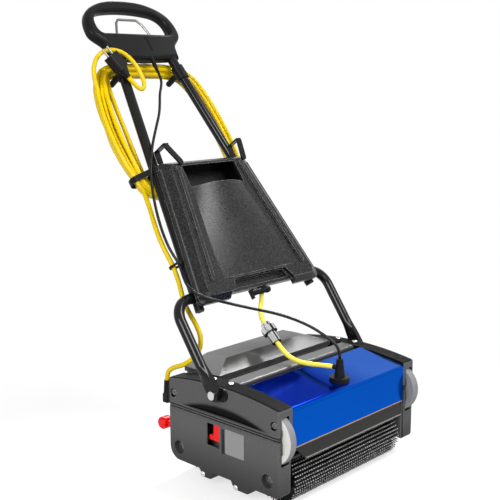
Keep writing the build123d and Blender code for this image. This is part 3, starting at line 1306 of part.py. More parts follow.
def tank_outlet():
    """Outlet tap under the lip of the foot notch: cross body with collars and lever, spout straight down."""
    above = OUTLET_TOP + Vector(0, 0, 2 * OUTLET_RADIUS)
    waist = OUTLET_END + Vector(0, 0, OUTLET_DROP / 2)
    body = rod(waist, above, OUTLET_RADIUS) + rod(OUTLET_END, waist, HOSE_DIAMETER / 2, OUTLET_RADIUS)
    reach = 4 * OUTLET_RADIUS
    off = (OUTLET_OFF - reach, OUTLET_OFF + reach)
    body -= on_handle(block((-reach, reach), (LIP_BOTTOM, LIP_BOTTOM + reach), off))
    along = LIP_BOTTOM - TAP_DROP
    tap = rod_x(*TAP_X, along, OUTLET_OFF, TAP_RADIUS)
    for x in TAP_COLLARS:
        tap += rod_x(x - TAP_COLLAR, x, along, OUTLET_OFF, TAP_COLLAR_RADIUS)
    width, length, thickness = TAP_LEVER
    lever_x = (TAP_X[0] - thickness, TAP_X[0])
    lever_off = (OUTLET_OFF - width / 2, OUTLET_OFF + width / 2)
    lever_s = (along + TAP_RADIUS - length, along + TAP_RADIUS)
    return body + on_handle(tap + block(lever_x, lever_s, lever_off))


def hose_coupling():
    """Quick coupling in the hose: body with a wide sleeve."""
    start = Vector(*COUPLING_TOP)
    axis = (Vector(*COUPLING_END) - start).normalized()
    body = rod(COUPLING_TOP, COUPLING_END, COUPLING_RADIUS)
    sleeve = rod(start + axis * COLLAR_SPAN[0], start + axis * COLLAR_SPAN[1], COLLAR_RADIUS)
    return body + sleeve


def band(along, width, side, *rounds):
    """Flat band round a handle tube and the cords beside it, given as (x, off, radius)."""
    tube = tube_axis(side, along)
    tube_room = GAP + TUBE_SLOPE * width / 2
    circles = [(tube.X, 0, TUBE_RADIUS + tube_room)]
    circles += [(x, off, radius + TIE_ROOM) for x, off, radius in rounds]
    inner = hull_face(circles)
    plane = Plane(origin=(0, along, 0), x_dir=(1, 0, 0), z_dir=(0, -1, 0))
    ring = offset(inner, TIE_THICKNESS) - inner
    return on_handle(extrude(plane * ring, amount=width / 2, both=True))


def mains_plug():
    """Moulded plug with a tapered neck, in the last loop of the cord before the left tube."""
    axis = Vector(*PLUG_AXIS).normalized()
    plane = Plane(origin=PLUG_FOOT, x_dir=axis.cross(Vector(0, 0, 1)), z_dir=axis)
    width, depth, length = PLUG_BODY
    foot_radius, head_radius = PLUG_NECK_RADII
    shoulder = plane.offset(PLUG_NECK)
    plug = loft([plane * Circle(foot_radius), shoulder * Circle(head_radius)])
    plug += extrude(shoulder * RectangleRounded(width, depth, depth / 4), amount=length)
    radius, pin_length, spacing = PLUG_PIN
    for side in SIDES:
        pin = Pos(side * spacing, 0) * Circle(radius)
        plug += extrude(shoulder.offset(length) * pin, amount=pin_length)
    return on_handle(plug)


def base_parts():
    """Pieces of the base that stay still."""
    parts = {}
    for side, name in ((LEFT, "left"), (RIGHT, "right")):
        parts[f"{name}_side_frame"] = side_frame(side)
        parts[f"{name}_lower_cover"] = lower_cover(side)
        parts[f"{name}_upper_cap"] = upper_cap(side)
    parts["front_cover"] = front_cover()
    parts["splash_guard"] = splash_guard()
    parts["carry_bar"] = carry_bar()
    parts["rear_hood"] = rear_hood()
    parts["recovery_tank"] = recovery_tank()
    parts["rear_panel"] = rear_panel()
    parts["chassis_deck"] = chassis_deck()
    parts["drive_motor"] = drive_motor()
    parts["gearbox"] = gearbox()
    parts["drive_belts"] = Compound([drive_belt(end) for end in ENDS])
    parts["brush_bearings"] = Compound([brush_bearing(side, end) for side in SIDES for end in ENDS])
    parts["wheel_axles"] = Compound([wheel_axle(side) for side in SIDES])
    screws = [
        cover_screw(side, y, z, recess[3])
        for side in SIDES
        for recess in (LOW_RECESS, HIGH_RECESS)
        for y, z in recess_places(recess)
    ]
    parts["cover_screws"] = Compound(screws)
    parts["housing_bolts"] = Compound([bolt for side in SIDES for bolt in housing_bolts(side)])
    parts["feed_valve"] = feed_valve()
    parts["spray_bar"] = spray_bar()
    parts["mains_gland"] = mains_gland()
    parts["lever_plate"] = lever_plate()
    parts["pivot_bolts"] = Compound([pivot_bolt(side) for side in SIDES])
    parts["pivot_bushes"] = Compound([pivot_bush(side) for side in SIDES])
    return parts


def moving_parts():
    """Brushes, drum, lever, pedal and wheels."""
    parts = {}
    for end, name in ((-1, "front"), (1, "rear")):
        parts[f"{name}_brush_core"] = brush_core(end)
        parts[f"{name}_brush_bristles"] = bristle_sleeve(end)
        parts[f"{name}_drive_pulley"] = drive_pulley(end)
    parts["pickup_drum"] = pickup_drum()
    parts["drum_carriage"] = Compound([carriage_arm(side) for side in SIDES])
    parts["drum_scraper"] = drum_scraper()
    parts["drum_lever"] = drum_lever()
    parts["foot_pedal"] = foot_pedal()
    parts["left_wheel"] = bumper_wheel(LEFT)
    parts["right_wheel"] = bumper_wheel(RIGHT)
    return parts


def handle_parts():
    """Yoke, tubes, head, tank and what is fixed to them."""
    parts = {}
    parts["yoke"] = yoke()
    parts["left_tube"] = handle_tube(LEFT)
    parts["right_tube"] = handle_tube(RIGHT)
    parts["clamp_knobs"] = Compound([clamp_knob(side) for side in SIDES])
    parts["handle_front_shell"] = handle_shell(1)
    parts["handle_rear_shell"] = handle_shell(-1)
    parts["bail"] = bail()
    parts["cable_ferrule"] = cable_ferrule()
    parts["cord_hooks"] = Compound([cord_hook(side) for side in SIDES])
    parts["solution_tank"] = solution_tank()
    parts["tank_clips"] = Compound([tank_clip(side) for side in SIDES])
    parts["tank_outlet"] = tank_outlet()
    strap = band(STRAP_S, STRAP_WIDTH, LEFT, (STRAP_HANK_X, HANK_OFF, HANK_RADIUS))
    cable_side = (*TIE_CABLE, CABLE_DIAMETER / 2)
    lead_side = (*TIE_LEAD, MAINS_DIAMETER / 2)
    parts["cord_ties"] = Compound([strap, band(TIE_S, TIE_WIDTH, LEFT, cable_side, lead_side)])
    return parts


def cord_parts():
    """Mains cord, control cable and solution hose."""
    parts = {}
    loop = [handle_point((x, s, HANK_OFF)) for x, s in HANK_LOOP]
    parts["mains_hank"] = cord("hank", loop, 2 * HANK_RADIUS, closed=True)
    lead = [handle_point(point) for point in LEAD_ON_HANDLE]
    lead += [*LEAD_ON_BASE, (GLAND_X, GLAND_Y, GLAND_TOP)]
    parts["mains_lead"] = cord("mains lead", lead, MAINS_DIAMETER)
    tail = [handle_point(point) for point in (PLUG_FOOT, *TAIL)]
    parts["mains_tail"] = cord("mains tail", tail, MAINS_DIAMETER)
    parts["mains_plug"] = mains_plug()
    cable = [handle_point(point) for point in (on_ferrule(FERRULE_END), *CABLE_ON_HANDLE)]
    cable += [*CABLE_ON_BASE, on_valve(VALVE_TOP)]
    parts["control_cable"] = cord("control cable", cable, CABLE_DIAMETER)
    at_outlet, at_coupling, past_coupling, at_barb = HOSE_STRAIGHT
    upper = [OUTLET_END, beyond(OUTLET_TOP, OUTLET_END, at_outlet), *HOSE_UPPER]
    upper += [beyond(COUPLING_END, COUPLING_TOP, at_coupling), COUPLING_TOP]
    parts["hose_upper"] = cord("upper hose", upper, HOSE_DIAMETER)
    parts["hose_coupling"] = hose_coupling()
    lower = [COUPLING_END, beyond(COUPLING_TOP, COUPLING_END, past_coupling), *HOSE_LOWER]
    lower += [beyond(on_valve(BARB_END[2]), BARB_END, at_barb), BARB_END]
    parts["hose_lower"] = cord("lower hose", lower, HOSE_DIAMETER)
    return parts


def main():
    os.makedirs("parts", exist_ok=True)
    parts = {**base_parts(), **moving_parts(), **handle_parts(), **cord_parts()}
    for name, shape in parts.items():
        export_step(shape, f"parts/{name}.step")


main()
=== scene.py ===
"""Looks of a walk-behind floor scrubber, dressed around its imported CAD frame.

Lengths are metres in the CAD frame: the origin is on the floor under the middle of the base,
+Z is up, the front faces -Y, and "left" is the -X side.
"""

import functools
import logging
import math
from dataclasses import dataclass
from enum import Enum

import bmesh
import bpy
import numpy as np
from bpy.types import ID, Material, Mesh, Node, NodeSocket, NodeTree, Object, World
from mathutils import Matrix, Vector


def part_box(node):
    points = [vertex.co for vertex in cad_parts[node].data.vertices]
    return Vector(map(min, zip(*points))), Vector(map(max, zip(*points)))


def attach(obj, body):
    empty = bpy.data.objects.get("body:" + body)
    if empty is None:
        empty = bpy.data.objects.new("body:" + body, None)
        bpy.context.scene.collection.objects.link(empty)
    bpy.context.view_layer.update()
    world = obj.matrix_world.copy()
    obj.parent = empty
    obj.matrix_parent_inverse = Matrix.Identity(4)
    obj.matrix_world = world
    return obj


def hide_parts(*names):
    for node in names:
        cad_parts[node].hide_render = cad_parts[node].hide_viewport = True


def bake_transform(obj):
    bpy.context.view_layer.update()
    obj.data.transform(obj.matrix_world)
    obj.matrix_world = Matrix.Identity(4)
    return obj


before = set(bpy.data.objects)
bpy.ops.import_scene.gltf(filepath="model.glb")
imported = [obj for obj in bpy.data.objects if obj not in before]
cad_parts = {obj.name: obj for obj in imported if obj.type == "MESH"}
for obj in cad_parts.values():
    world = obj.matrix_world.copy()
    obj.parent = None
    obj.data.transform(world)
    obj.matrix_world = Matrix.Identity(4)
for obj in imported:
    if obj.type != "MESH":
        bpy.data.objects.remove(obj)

LOG = logging.getLogger("floor_scrubber")

Colour = tuple[float, float, float]
Point = tuple[float, float, float]
Span = tuple[float, float]  # where a change begins and where it is complete
Given = float | tuple | NodeSocket  # a plain value, or the socket that it comes from
Sockets = dict[str, NodeSocket]


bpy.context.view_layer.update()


# The handle's own coordinates


@dataclass(frozen=True)
class HandlePlane:
    """Leaning plane of the handle: x across, s up along the tubes, off towards the front."""

    pivot_y: float = 0.006
    pivot_z: float = 0.207
    lean: float = math.radians(35.0)

    def place(self, points: np.ndarray | tuple) -> np.ndarray:
        """Puts points of the handle in the CAD frame: the pivot plus s along up and off along out.

        Args:
            points: rows of x, s and off.

        Returns:
            Rows of x, y and z.
        """
        x, s, off = np.asarray(points, dtype=float).T
        y = self.pivot_y + s * math.sin(self.lean) - off * math.cos(self.lean)
        z = self.pivot_z + s * math.cos(self.lean) + off * math.sin(self.lean)
        return np.column_stack((x, y, z))

    @property
    def pivot(self) -> Point:
        """The plane's origin."""
        return (0.0, self.pivot_y, self.pivot_z)

    @property
    def up(self) -> Point:
        """Direction of s."""
        return (0.0, math.sin(self.lean), math.cos(self.lean))

    @property
    def out(self) -> Point:
        """Direction of off."""
        return (0.0, -math.cos(self.lean), math.sin(self.lean))


HANDLE = HandlePlane()


# Node trees


class Graph:
    """Adds nodes to one node tree and links them."""

    def __init__(self, tree: NodeTree) -> None:
        """Keeps the tree that nodes are added to."""
        self.tree = tree

    def put(self, value: Given, socket: NodeSocket) -> None:
        """Feeds an input with a socket's value or a plain one.

        Args:
            value: a socket, a number, a vector, or a colour without alpha.
            socket: the input.
        """
        if isinstance(value, NodeSocket):
            self.tree.links.new(value, socket)
        elif socket.type == "RGBA":
            socket.default_value = (*value, 1.0)
        else:
            socket.default_value = value

    def add(self, kind: str, inputs: dict[str | int, Given] | None = None, **settings: object) -> Node:
        """Adds one node.

        Args:
            kind: Blender's name of the node type, without its ShaderNode prefix.
            inputs: what feeds the node's inputs, by name or index.
            settings: properties of the node itself.

        Returns:
            The new node.
        """
        node = self.tree.nodes.new("ShaderNode" + kind)
        for key, value in settings.items():
            setattr(node, key, value)
        for key, value in (inputs or {}).items():
            self.put(value, node.inputs[key])
        return node

    def math(self, operation: str, *values: Given) -> NodeSocket:
        """The result of a Math node on up to three numbers."""
        return self.add("Math", dict(enumerate(values)), operation=operation).outputs[0]

    def most(self, values: list[NodeSocket]) -> NodeSocket:
        """The largest of some numbers."""
        return functools.reduce(lambda first, second: self.math("MAXIMUM", first, second), values)

    def around(self, middle: float, width: float, noise: NodeSocket) -> NodeSocket:
        """A number that noise from 0 to 1 moves over a width round its middle."""
        return self.math("MULTIPLY_ADD", noise, width, middle - width / 2)

    def vectors(self, operation: str, *values: Given) -> Sockets:
        """Both results, Vector and Value, of a Vector Math node."""
        return self.add("VectorMath", dict(enumerate(values)), operation=operation).outputs

    def mix(self, factor: Given, first: Given, second: Given) -> NodeSocket:
        """A colour between two, by a factor from 0 to 1. Sockets 6, 7 and 2 are those for colours."""
        return self.add("Mix", {0: factor, 6: first, 7: second}, data_type="RGBA").outputs[2]

    def ramp(self, value: Given, low: float, high: float) -> NodeSocket:
        """A smooth step of a number from 0 at low to 1 at high."""
        inputs = {"Value": value, "From Min": low, "From Max": high}
        return self.add("MapRange", inputs, interpolation_type="SMOOTHSTEP").outputs[0]

    def noise(self, vector: NodeSocket, scale: Given, detail: float) -> NodeSocket:
        """Noise from 0 to 1 at a scale in cells per metre."""
        return self.add("TexNoise", {"Vector": vector, "Scale": scale, "Detail": detail}).outputs["Fac"]

    def bump(self, height: NodeSocket, depth: float) -> NodeSocket:
        """The normal, tilted by a height that is this deep at 1."""
        return self.add("Bump", {"Height": height, "Distance": depth, "Strength": 1.0}).outputs[0]

    def place(self, name: str) -> NodeSocket:
        """An output of Texture Coordinate, such as Object or UV."""
        return self.add("TexCoord").outputs[name]

    def share(self, axis: str, name: str = "Object") -> NodeSocket:
        """One axis of an output of Texture Coordinate."""
        return self.add("SeparateXYZ", {0: self.place(name)}).outputs[axis]

    def reach(self, origin: Point, axis: Point) -> NodeSocket:
        """How far the place lies from an origin along an axis."""
        away = self.vectors("SUBTRACT", self.place("Object"), origin)["Vector"]
        return self.vectors("DOT_PRODUCT", away, axis)["Value"]

    def effect(self, tree: NodeTree, **values: float) -> Sockets:
        """What a shared effect puts out with its own values."""
        return self.add("Group", {"Vector": self.place("Object"), **values}, node_tree=tree).outputs


def empty_graph(owner: Material | World) -> Graph:
    """Starts the nodes of a material or world.

    Args:
        owner: the material or world.

    Returns:
        A graph on its node tree, with no node in it.
    """
    owner.use_nodes = True
    owner.node_tree.nodes.clear()
    return Graph(owner.node_tree)


def new_group(name: str, value: str, outputs: tuple[str, ...]) -> tuple[Graph, Sockets, Sockets]:
    """Starts a shader node group whose inputs are a place and one number.

    Args:
        name: the group's name.
        value: name of the number.
        outputs: names of the numbers that the group puts out.

    Returns:
        A graph on the group's tree, and the sockets of its inputs and outputs by name.
    """
    tree = bpy.data.node_groups.new(name, "ShaderNodeTree")
    tree.interface.new_socket("Vector", in_out="INPUT", socket_type="NodeSocketVector")
    tree.interface.new_socket(value, in_out="INPUT", socket_type="NodeSocketFloat")
    for label in outputs:
        tree.interface.new_socket(label, in_out="OUTPUT", socket_type="NodeSocketFloat")
    given = tree.nodes.new("NodeGroupInput").outputs
    made = tree.nodes.new("NodeGroupOutput").inputs
    return Graph(tree), given, made


class Effects:
    """Surface effects that several finishes share, each one a node group built once."""

    MOTTLE_SCALE = 11.0  # cells per metre, as the next two
    WEAR_SCALE = 90.0
    DUST_SCALE = 34.0
    FINE_SCALE = 2.1  # times the grain's own scale, as the next one
    SPECK_SCALE = 0.6
    PITTED = 0.6  # share of the cells in the relief
    SPECKS = (0.35, 0.68)  # noise over which a speck begins
    EDGE = (0.01, 0.16)  # turn of the normal over which an edge counts
    RUBBED_OR_HIGHLIT = (0.25, 0.55)  # noise over which an edge is rubbed or has a painted highlight
    UPWARD = (0.2, 1.0)  # upward share of the normal over which dust settles
    SETTLED = (0.3, 0.75)  # noise over which dust has settled
    BEVEL_SAMPLES = 4

    @classmethod
    @functools.cache
    def grain(cls) -> NodeTree:
        """Pitted grain: cell distance and finer noise added up, a broad mottle and fine specks.

        Returns:
            The group.
        """
        graph, given, made = new_group("grain", "Scale", ("Height", "Mottle", "Speck"))
        place, scale = given["Vector"], given["Scale"]
        cells = graph.add("TexVoronoi", {"Vector": place, "Scale": scale}).outputs["Distance"]
        fine = graph.noise(place, graph.math("MULTIPLY", scale, cls.FINE_SCALE), detail=3.0)
        specks = graph.noise(place, graph.math("MULTIPLY", scale, cls.SPECK_SCALE), detail=3.0)
        graph.put(graph.math("MULTIPLY_ADD", cells, cls.PITTED, fine), made["Height"])
        graph.put(graph.noise(place, cls.MOTTLE_SCALE, detail=4.0), made["Mottle"])
        graph.put(graph.ramp(specks, *cls.SPECKS), made["Speck"])
        return graph.tree

    @classmethod
    @functools.cache
    def wear(cls) -> NodeTree:
        """Rubbed edges and painted edge highlights: where a rounded normal leaves the true one, broken up by
        noise.

        Returns:
            The group.
        """
        graph, given, made = new_group("edge_wear_and_highlight", "Radius", ("Mask",))
        rounded = graph.add("Bevel", {"Radius": given["Radius"]}, samples=cls.BEVEL_SAMPLES).outputs[0]
        true = graph.add("NewGeometry").outputs["Normal"]
        turned = graph.math("SUBTRACT", 1.0, graph.vectors("DOT_PRODUCT", rounded, true)["Value"])
        patches = graph.ramp(graph.noise(given["Vector"], cls.WEAR_SCALE, detail=4.0), *cls.RUBBED_OR_HIGHLIT)
        graph.put(graph.math("MULTIPLY", graph.ramp(turned, *cls.EDGE), patches), made["Mask"])
        return graph.tree

    @classmethod
    @functools.cache
    def dust(cls) -> NodeTree:
        """Settled dust: faces that look up, times patchy noise.

        Returns:
            The group.
        """
        graph, given, made = new_group("settled_dust", "Amount", ("Mask",))
        upward = graph.ramp(graph.share("Z", "Normal"), *cls.UPWARD)
        patches = graph.ramp(graph.noise(given["Vector"], cls.DUST_SCALE, detail=5.0), *cls.SETTLED)
        amount = graph.math("MULTIPLY", upward, given["Amount"])
        graph.put(graph.math("MULTIPLY", amount, patches), made["Mask"])
        return graph.tree


# Finishes


class Grain(Enum):
    """Relief of a surface: cells per metre and height in metres."""

    FINE = (1100.0, 0.00004)
    COARSE = (420.0, 0.00012)
    SATIN = (900.0, 0.000006)
    SMOOTH = (300.0, 0.0)
    PEEL = (260.0, 0.000008)


def scaled(colour: Colour, share: float) -> Colour:
    """A colour made lighter or darker by a share of itself."""
    return tuple(min(1.0, c * share) for c in colour)


def grey(tone: float) -> Colour:
    """A colour without a hue."""
    return (tone, tone, tone)


WHITE = grey(1.0)
DUST_COLOUR = (0.42, 0.40, 0.37)


@dataclass(frozen=True)
class Finish:
    """A solid finish: plastic, paint, rubber or plain metal."""

    colour: Colour
    roughness: float
    grain: Grain = Grain.FINE
    metallic: float = 0.0
    specular: float = 0.2
    mottle: float = 0.12  # share by which the tone wanders
    speck: float = 0.25  # share by which fine specks are lighter
    worn: Colour | None = None  # colour of rubbed edges, and of the painted highlights along them
    wear_radius: float = 0.0015
    dust: float = 0.0
    sheen_tint: Colour = WHITE  # colour of what it mirrors

    ROUGH_WIDTH = 0.16  # over which the roughness wanders

    def even(self) -> dict[str, Given]:
        """Shader inputs that are the same all over, by name."""
        mirrored = {"Specular IOR Level": self.specular, "Specular Tint": self.sheen_tint}
        return {"Metallic": self.metallic, **mirrored}

    def tone(self, graph: Graph, grain: Sockets) -> NodeSocket:
        """The colour with its mottle, specks, rubbed edges with painted highlights, and dust.

        Args:
            graph: the material's graph.
            grain: what the grain group puts out.

        Returns:
            The socket that holds the colour.
        """
        dark, light = scaled(self.colour, 1.0 - self.mottle), scaled(self.colour, 1.0 + self.mottle)
        colour = graph.mix(grain["Mottle"], dark, light)
        if self.speck:
            colour = graph.mix(grain["Speck"], colour, scaled(self.colour, 1.0 + self.speck))
        if self.worn:
            # rubbed edges, whose lighter colour is also a painted highlight along them
            rubbed = graph.effect(Effects.wear(), Radius=self.wear_radius)["Mask"]
            colour = graph.mix(rubbed, colour, self.worn)
        if self.dust:
            dusty = graph.effect(Effects.dust(), Amount=self.dust)["Mask"]
            colour = graph.mix(dusty, colour, DUST_COLOUR)
        return colour

    def paint(self, graph: Graph) -> Sockets:
        """Works out the tone, roughness and relief that change over the surface.

        Args:
            graph: the material's graph.

        Returns:
            What feeds the shader's inputs, by their names.
        """
        scale, depth = self.grain.value
        grain = graph.effect(Effects.grain(), Scale=scale)
        return {
            "Base Color": self.tone(graph, grain),
            "Roughness": graph.around(self.roughness, self.ROUGH_WIDTH, grain["Mottle"]),
            "Normal": graph.bump(grain["Height"], depth),
        }

    def material(self, name: str) -> Material:
        """The finish as a new material.

        Args:
            name: the material's name.

        Returns:
            The material, ready to be put on pieces.
        """
        made = bpy.data.materials.new(name)
        graph = empty_graph(made)
        shader = graph.add("BsdfPrincipled", self.even())
        for label, socket in self.paint(graph).items():
            graph.put(socket, shader.inputs[label])
        graph.add("OutputMaterial", {"Surface": shader.outputs[0]})
        return made


@dataclass(frozen=True)
class TwoTone(Finish):
    """A finish with a second colour on part of the surface, such as bare metal, a trim line, painted shade,
    a painted highlight and a painted reflection.
    """

    second: Colour = grey(0.5)
    second_metallic: float = 0.0

    def mask(self, graph: Graph) -> NodeSocket:
        """1 where the second colour lies."""
        raise NotImplementedError

    def paint(self, graph: Graph) -> Sockets:
        """Lays the second colour over the plain finish.

        Args:
            graph: the material's graph.

        Returns:
            What feeds the shader's inputs, by their names.
        """
        inputs = super().paint(graph)
        mask = self.mask(graph)
        inputs["Base Color"] = graph.mix(mask, inputs["Base Color"], self.second)
        if self.second_metallic != self.metallic:
            step = self.second_metallic - self.metallic
            inputs["Metallic"] = graph.math("MULTIPLY_ADD", mask, step, self.metallic)
        return inputs


@dataclass(frozen=True)
class LowerEdge(TwoTone):
    """The second colour lies along the lowest edge, up to a height, and fades out above it."""

    top: float = 0.0
    fade: float = 0.00001

    def mask(self, graph: Graph) -> NodeSocket:
        """1 below the height, and less over the fade."""
        above = graph.ramp(graph.share("Z"), self.top, self.top + self.fade)
        return graph.math("SUBTRACT", 1.0, above)


@dataclass(frozen=True)
class CoverPaint(LowerEdge):
    """Paint with a trim line along the lowest edge, and on top painted shade on the left that gives way to a
    paler painted reflection on the right.
    """

    # painted shade on the left of the top
    painted_shade: Colour = grey(0.0)
    # painted reflection on the right of the top
    pale: Colour = grey(0.5)
    left_to_right: Span = (-0.06, 0.10)  # X over which the painted shade gives way to the painted reflection
    upward: Span = (0.6, 0.9)  # upward share of the normal over which the top begins

    def tone(self, graph: Graph, grain: Sockets) -> NodeSocket:
        """The plain tone, turned to the top's painted shade and painted reflection by the normal's upward
        share.

        Args:
            graph: the material's graph.
            grain: what the grain group puts out.

        Returns:
            The socket that holds the colour.
        """
        upward = graph.ramp(graph.share("Z", "Normal"), *self.upward)
        top = graph.mix(graph.ramp(graph.share("X"), *self.left_to_right), self.painted_shade, self.pale)
        return graph.mix(upward, super().tone(graph, grain), top)


@dataclass(frozen=True)
class SeamPaintedShade(TwoTone):
    """Painted shade: the second colour lies in level lines, in the grooves of a seam."""

    heights: tuple[float, ...] = ()
    half_width: float = 0.0011

    def mask(self, graph: Graph) -> NodeSocket:
        """1 within half a line's width of any line's height."""
        height = graph.share("Z")
        return graph.most([graph.math("COMPARE", height, line, self.half_width) for line in self.heights])


@dataclass(frozen=True)
class CapPaintedShade(TwoTone):
    """Painted shade: the dark second colour lies on the faces that look up and in the scoop of the outer
    face.
    """

    outside: float = 0.0  # distance of the outer face from the middle of the machine
    scoop: Span = (0.0008, 0.0032)  # depth over which the scoop begins
    upward: Span = (0.45, 0.75)  # upward share of the normal over which a face looks up
    sideways: Span = (0.75, 0.85)  # share of the normal along X over which a face looks sideways

    def mask(self, graph: Graph) -> NodeSocket:
        """The normal's upward share, or a sideways normal behind the outer face.

        Args:
            graph: the material's graph.

        Returns:
            The socket that holds the mask.
        """
        upward = graph.ramp(graph.share("Z", "Normal"), *self.upward)
        sideways = graph.ramp(graph.math("ABSOLUTE", graph.share("X", "Normal")), *self.sideways)
        depth = graph.math("SUBTRACT", self.outside, graph.math("ABSOLUTE", graph.share("X")))
        return graph.most([upward, graph.math("MULTIPLY", sideways, graph.ramp(depth, *self.scoop))])


@dataclass(frozen=True)
class OuterFaces(TwoTone):
    """The second colour lies on the flat faces that look away from the middle of the machine."""

    outward: Span = (0.45, 0.8)  # outward share of the normal over which a face looks away

    def mask(self, graph: Graph) -> NodeSocket:
        """The normal's share along X, counted outwards on either side."""
        outward = graph.math("MULTIPLY", graph.math("SIGN", graph.share("X")), graph.share("X", "Normal"))
        return graph.ramp(outward, *self.outward)


@dataclass(frozen=True)
class PaintedReflectionBands(TwoTone):
    """Painted reflection: the second colour lies in bands along a bright part, where it would mirror the
    dark of the room.
    """

    bands: tuple[tuple[float, float], ...] = ((-0.22, 0.17), (0.7, 0.38))  # middle and half width

    def mask(self, graph: Graph) -> NodeSocket:
        """1 where the normal's share along X lies in a band."""
        facing = graph.share("X", "Normal")
        return graph.most([graph.math("COMPARE", facing, *band) for band in self.bands])


@dataclass(frozen=True)
class PastPlane(TwoTone):
    """The second colour lies beyond a plane, as on the pins of a plug."""

    on_plane: Point = (0.0, 0.0, 0.0)
    axis: Point = (0.0, 0.0, 1.0)
    past: float = 0.0005  # so that a face in the plane keeps the first colour

    def mask(self, graph: Graph) -> NodeSocket:
        """1 where the place lies past the plane along the axis."""
        return graph.math("GREATER_THAN", graph.reach(self.on_plane, self.axis), self.past)


@dataclass(frozen=True)
class HandRecessShade(TwoTone):
    """Painted shade: the second colour lies in the hand recess of the tank's face."""

    half: float = 0.0806
    foot: float = 0.4262  # s of the recess's lower wall
    rim: Span = (0.026, 0.036)  # off over which the painted shade fades out

    def mask(self, graph: Graph) -> NodeSocket:
        """1 between the side walls, above the foot and below the rim.

        Args:
            graph: the material's graph.

        Returns:
            The socket that holds the mask.
        """
        between = graph.math("LESS_THAN", graph.math("ABSOLUTE", graph.share("X")), self.half)
        above = graph.math("GREATER_THAN", graph.reach(HANDLE.pivot, HANDLE.up), self.foot)
        # painted shade, full deep in the recess and fading out at its rim
        painted_shade = graph.math("SUBTRACT", 1.0, graph.ramp(graph.reach(HANDLE.pivot, HANDLE.out), *self.rim))
        return graph.math("MULTIPLY", graph.math("MULTIPLY", between, above), painted_shade)


@dataclass(frozen=True)
class BrushedMetal(Finish):
    """Metal with fine level scratches."""

    ROUGH_WIDTH = 0.2
    STREAKS = (60.0, 40.0, 2600.0)  # per metre along X, Y and Z
    SCRATCH_DEPTH = 0.00003

    def paint(self, graph: Graph) -> Sockets:
        """Noise squeezed along Z into streaks gives tone, roughness and relief.

        Args:
            graph: the material's graph.

        Returns:
            What feeds the shader's inputs, by their names.
        """
        squeezed = graph.add("Mapping", {"Vector": graph.place("Object"), "Scale": self.STREAKS})
        streaks = graph.noise(squeezed.outputs[0], scale=1.0, detail=3.0)
        return {
            "Base Color": graph.mix(streaks, scaled(self.colour, 1.0 - self.mottle), self.colour),
            "Roughness": graph.around(self.roughness, self.ROUGH_WIDTH, streaks),
            "Normal": graph.bump(streaks, self.SCRATCH_DEPTH),
        }


@dataclass(frozen=True)
class CordSheath(Finish):
    """Extruded sheath: faint lay of the cores along the cord, and rubbed patches."""

    lay: float = 0.05  # length of one twist of the cores inside
    twist_depth: float = 0.00004

    ROUGH_WIDTH = 0.2
    SCUFFED = 0.1  # width over which fine scuffs move the roughness
    CORES = 3
    PATCH_SCALE = 38.0  # cells per metre, as the next one
    SCUFF_SCALE = 700.0
    PATCHES = (0.25, 0.7)  # noise over which the full colour begins

    def paint(self, graph: Graph) -> Sockets:
        """Relief is a sine with a wave for each core, carried along the cord by its UV map.

        Args:
            graph: the material's graph.

        Returns:
            What feeds the shader's inputs, by their names.
        """
        turn = graph.math("MULTIPLY", graph.share("X", "UV"), self.CORES * math.tau)
        along = graph.math("MULTIPLY_ADD", graph.share("Y", "UV"), math.tau / self.lay, turn)
        patches = graph.noise(graph.place("Object"), self.PATCH_SCALE, detail=4.0)
        scuffs = graph.noise(graph.place("Object"), self.SCUFF_SCALE, detail=2.0)
        tone = graph.ramp(patches, *self.PATCHES)
        worn = graph.around(self.roughness - self.SCUFFED / 2, self.ROUGH_WIDTH, patches)
        return {
            "Base Color": graph.mix(tone, scaled(self.colour, 1.0 - self.mottle), self.colour),
            "Roughness": graph.math("MULTIPLY_ADD", scuffs, self.SCUFFED, worn),
            "Normal": graph.bump(graph.math("SINE", along), self.twist_depth),
        }


@dataclass(frozen=True)
class Bristle(Finish):
    """Nylon bristle that pales from its root to its worn tip."""

    tip: Colour = grey(0.55)

    ROUGH_WIDTH = 0.2
    STRAND_SCALE = 420.0  # cells per metre of the noise from strand to strand
    TIP = (0.9, 1.0)  # share of the strand's length over which its tip begins
    PALED = (0.25, 0.6)  # noise over which a tip is pale

    def paint(self, graph: Graph) -> Sockets:
        """The tone follows the strand's own tip attribute, with some noise from strand to strand.

        Args:
            graph: the material's graph.

        Returns:
            What feeds the shader's inputs, by their names.
        """
        reach = graph.add("Attribute", attribute_name="tip").outputs["Fac"]
        strand = graph.noise(graph.place("Object"), self.STRAND_SCALE, detail=1.0)
        pale = graph.math("MULTIPLY", graph.ramp(reach, *self.TIP), graph.ramp(strand, *self.PALED))
        return {
            "Base Color": graph.mix(pale, self.colour, self.tip),
            "Roughness": graph.around(self.roughness, self.ROUGH_WIDTH, strand),
        }


@dataclass(frozen=True)
class SmokedSheet(LowerEdge):
    """Clear sheet tinted with smoke, with a painted highlight along its lower cut edge."""

    clear: float = 0.3  # share of the light that is let through
    refraction: float = 1.49

    def even(self) -> dict[str, Given]:
        """The plain inputs, with part of the light let through."""
        return {**super().even(), "Transmission Weight": self.clear, "IOR": self.refraction}


PLUG_FRONT = np.array((-0.1252, 0.7664, 0.0285))  # x, s and off of the face that its pins stand on
PLUG_AHEAD = np.array((-0.52, 0.84, 0.15))  # direction of the pins along x, s and off
PLUG_FACE, PLUG_BEYOND = HANDLE.place((PLUG_FRONT, PLUG_FRONT + PLUG_AHEAD))
TRIM_LINE = 0.0022
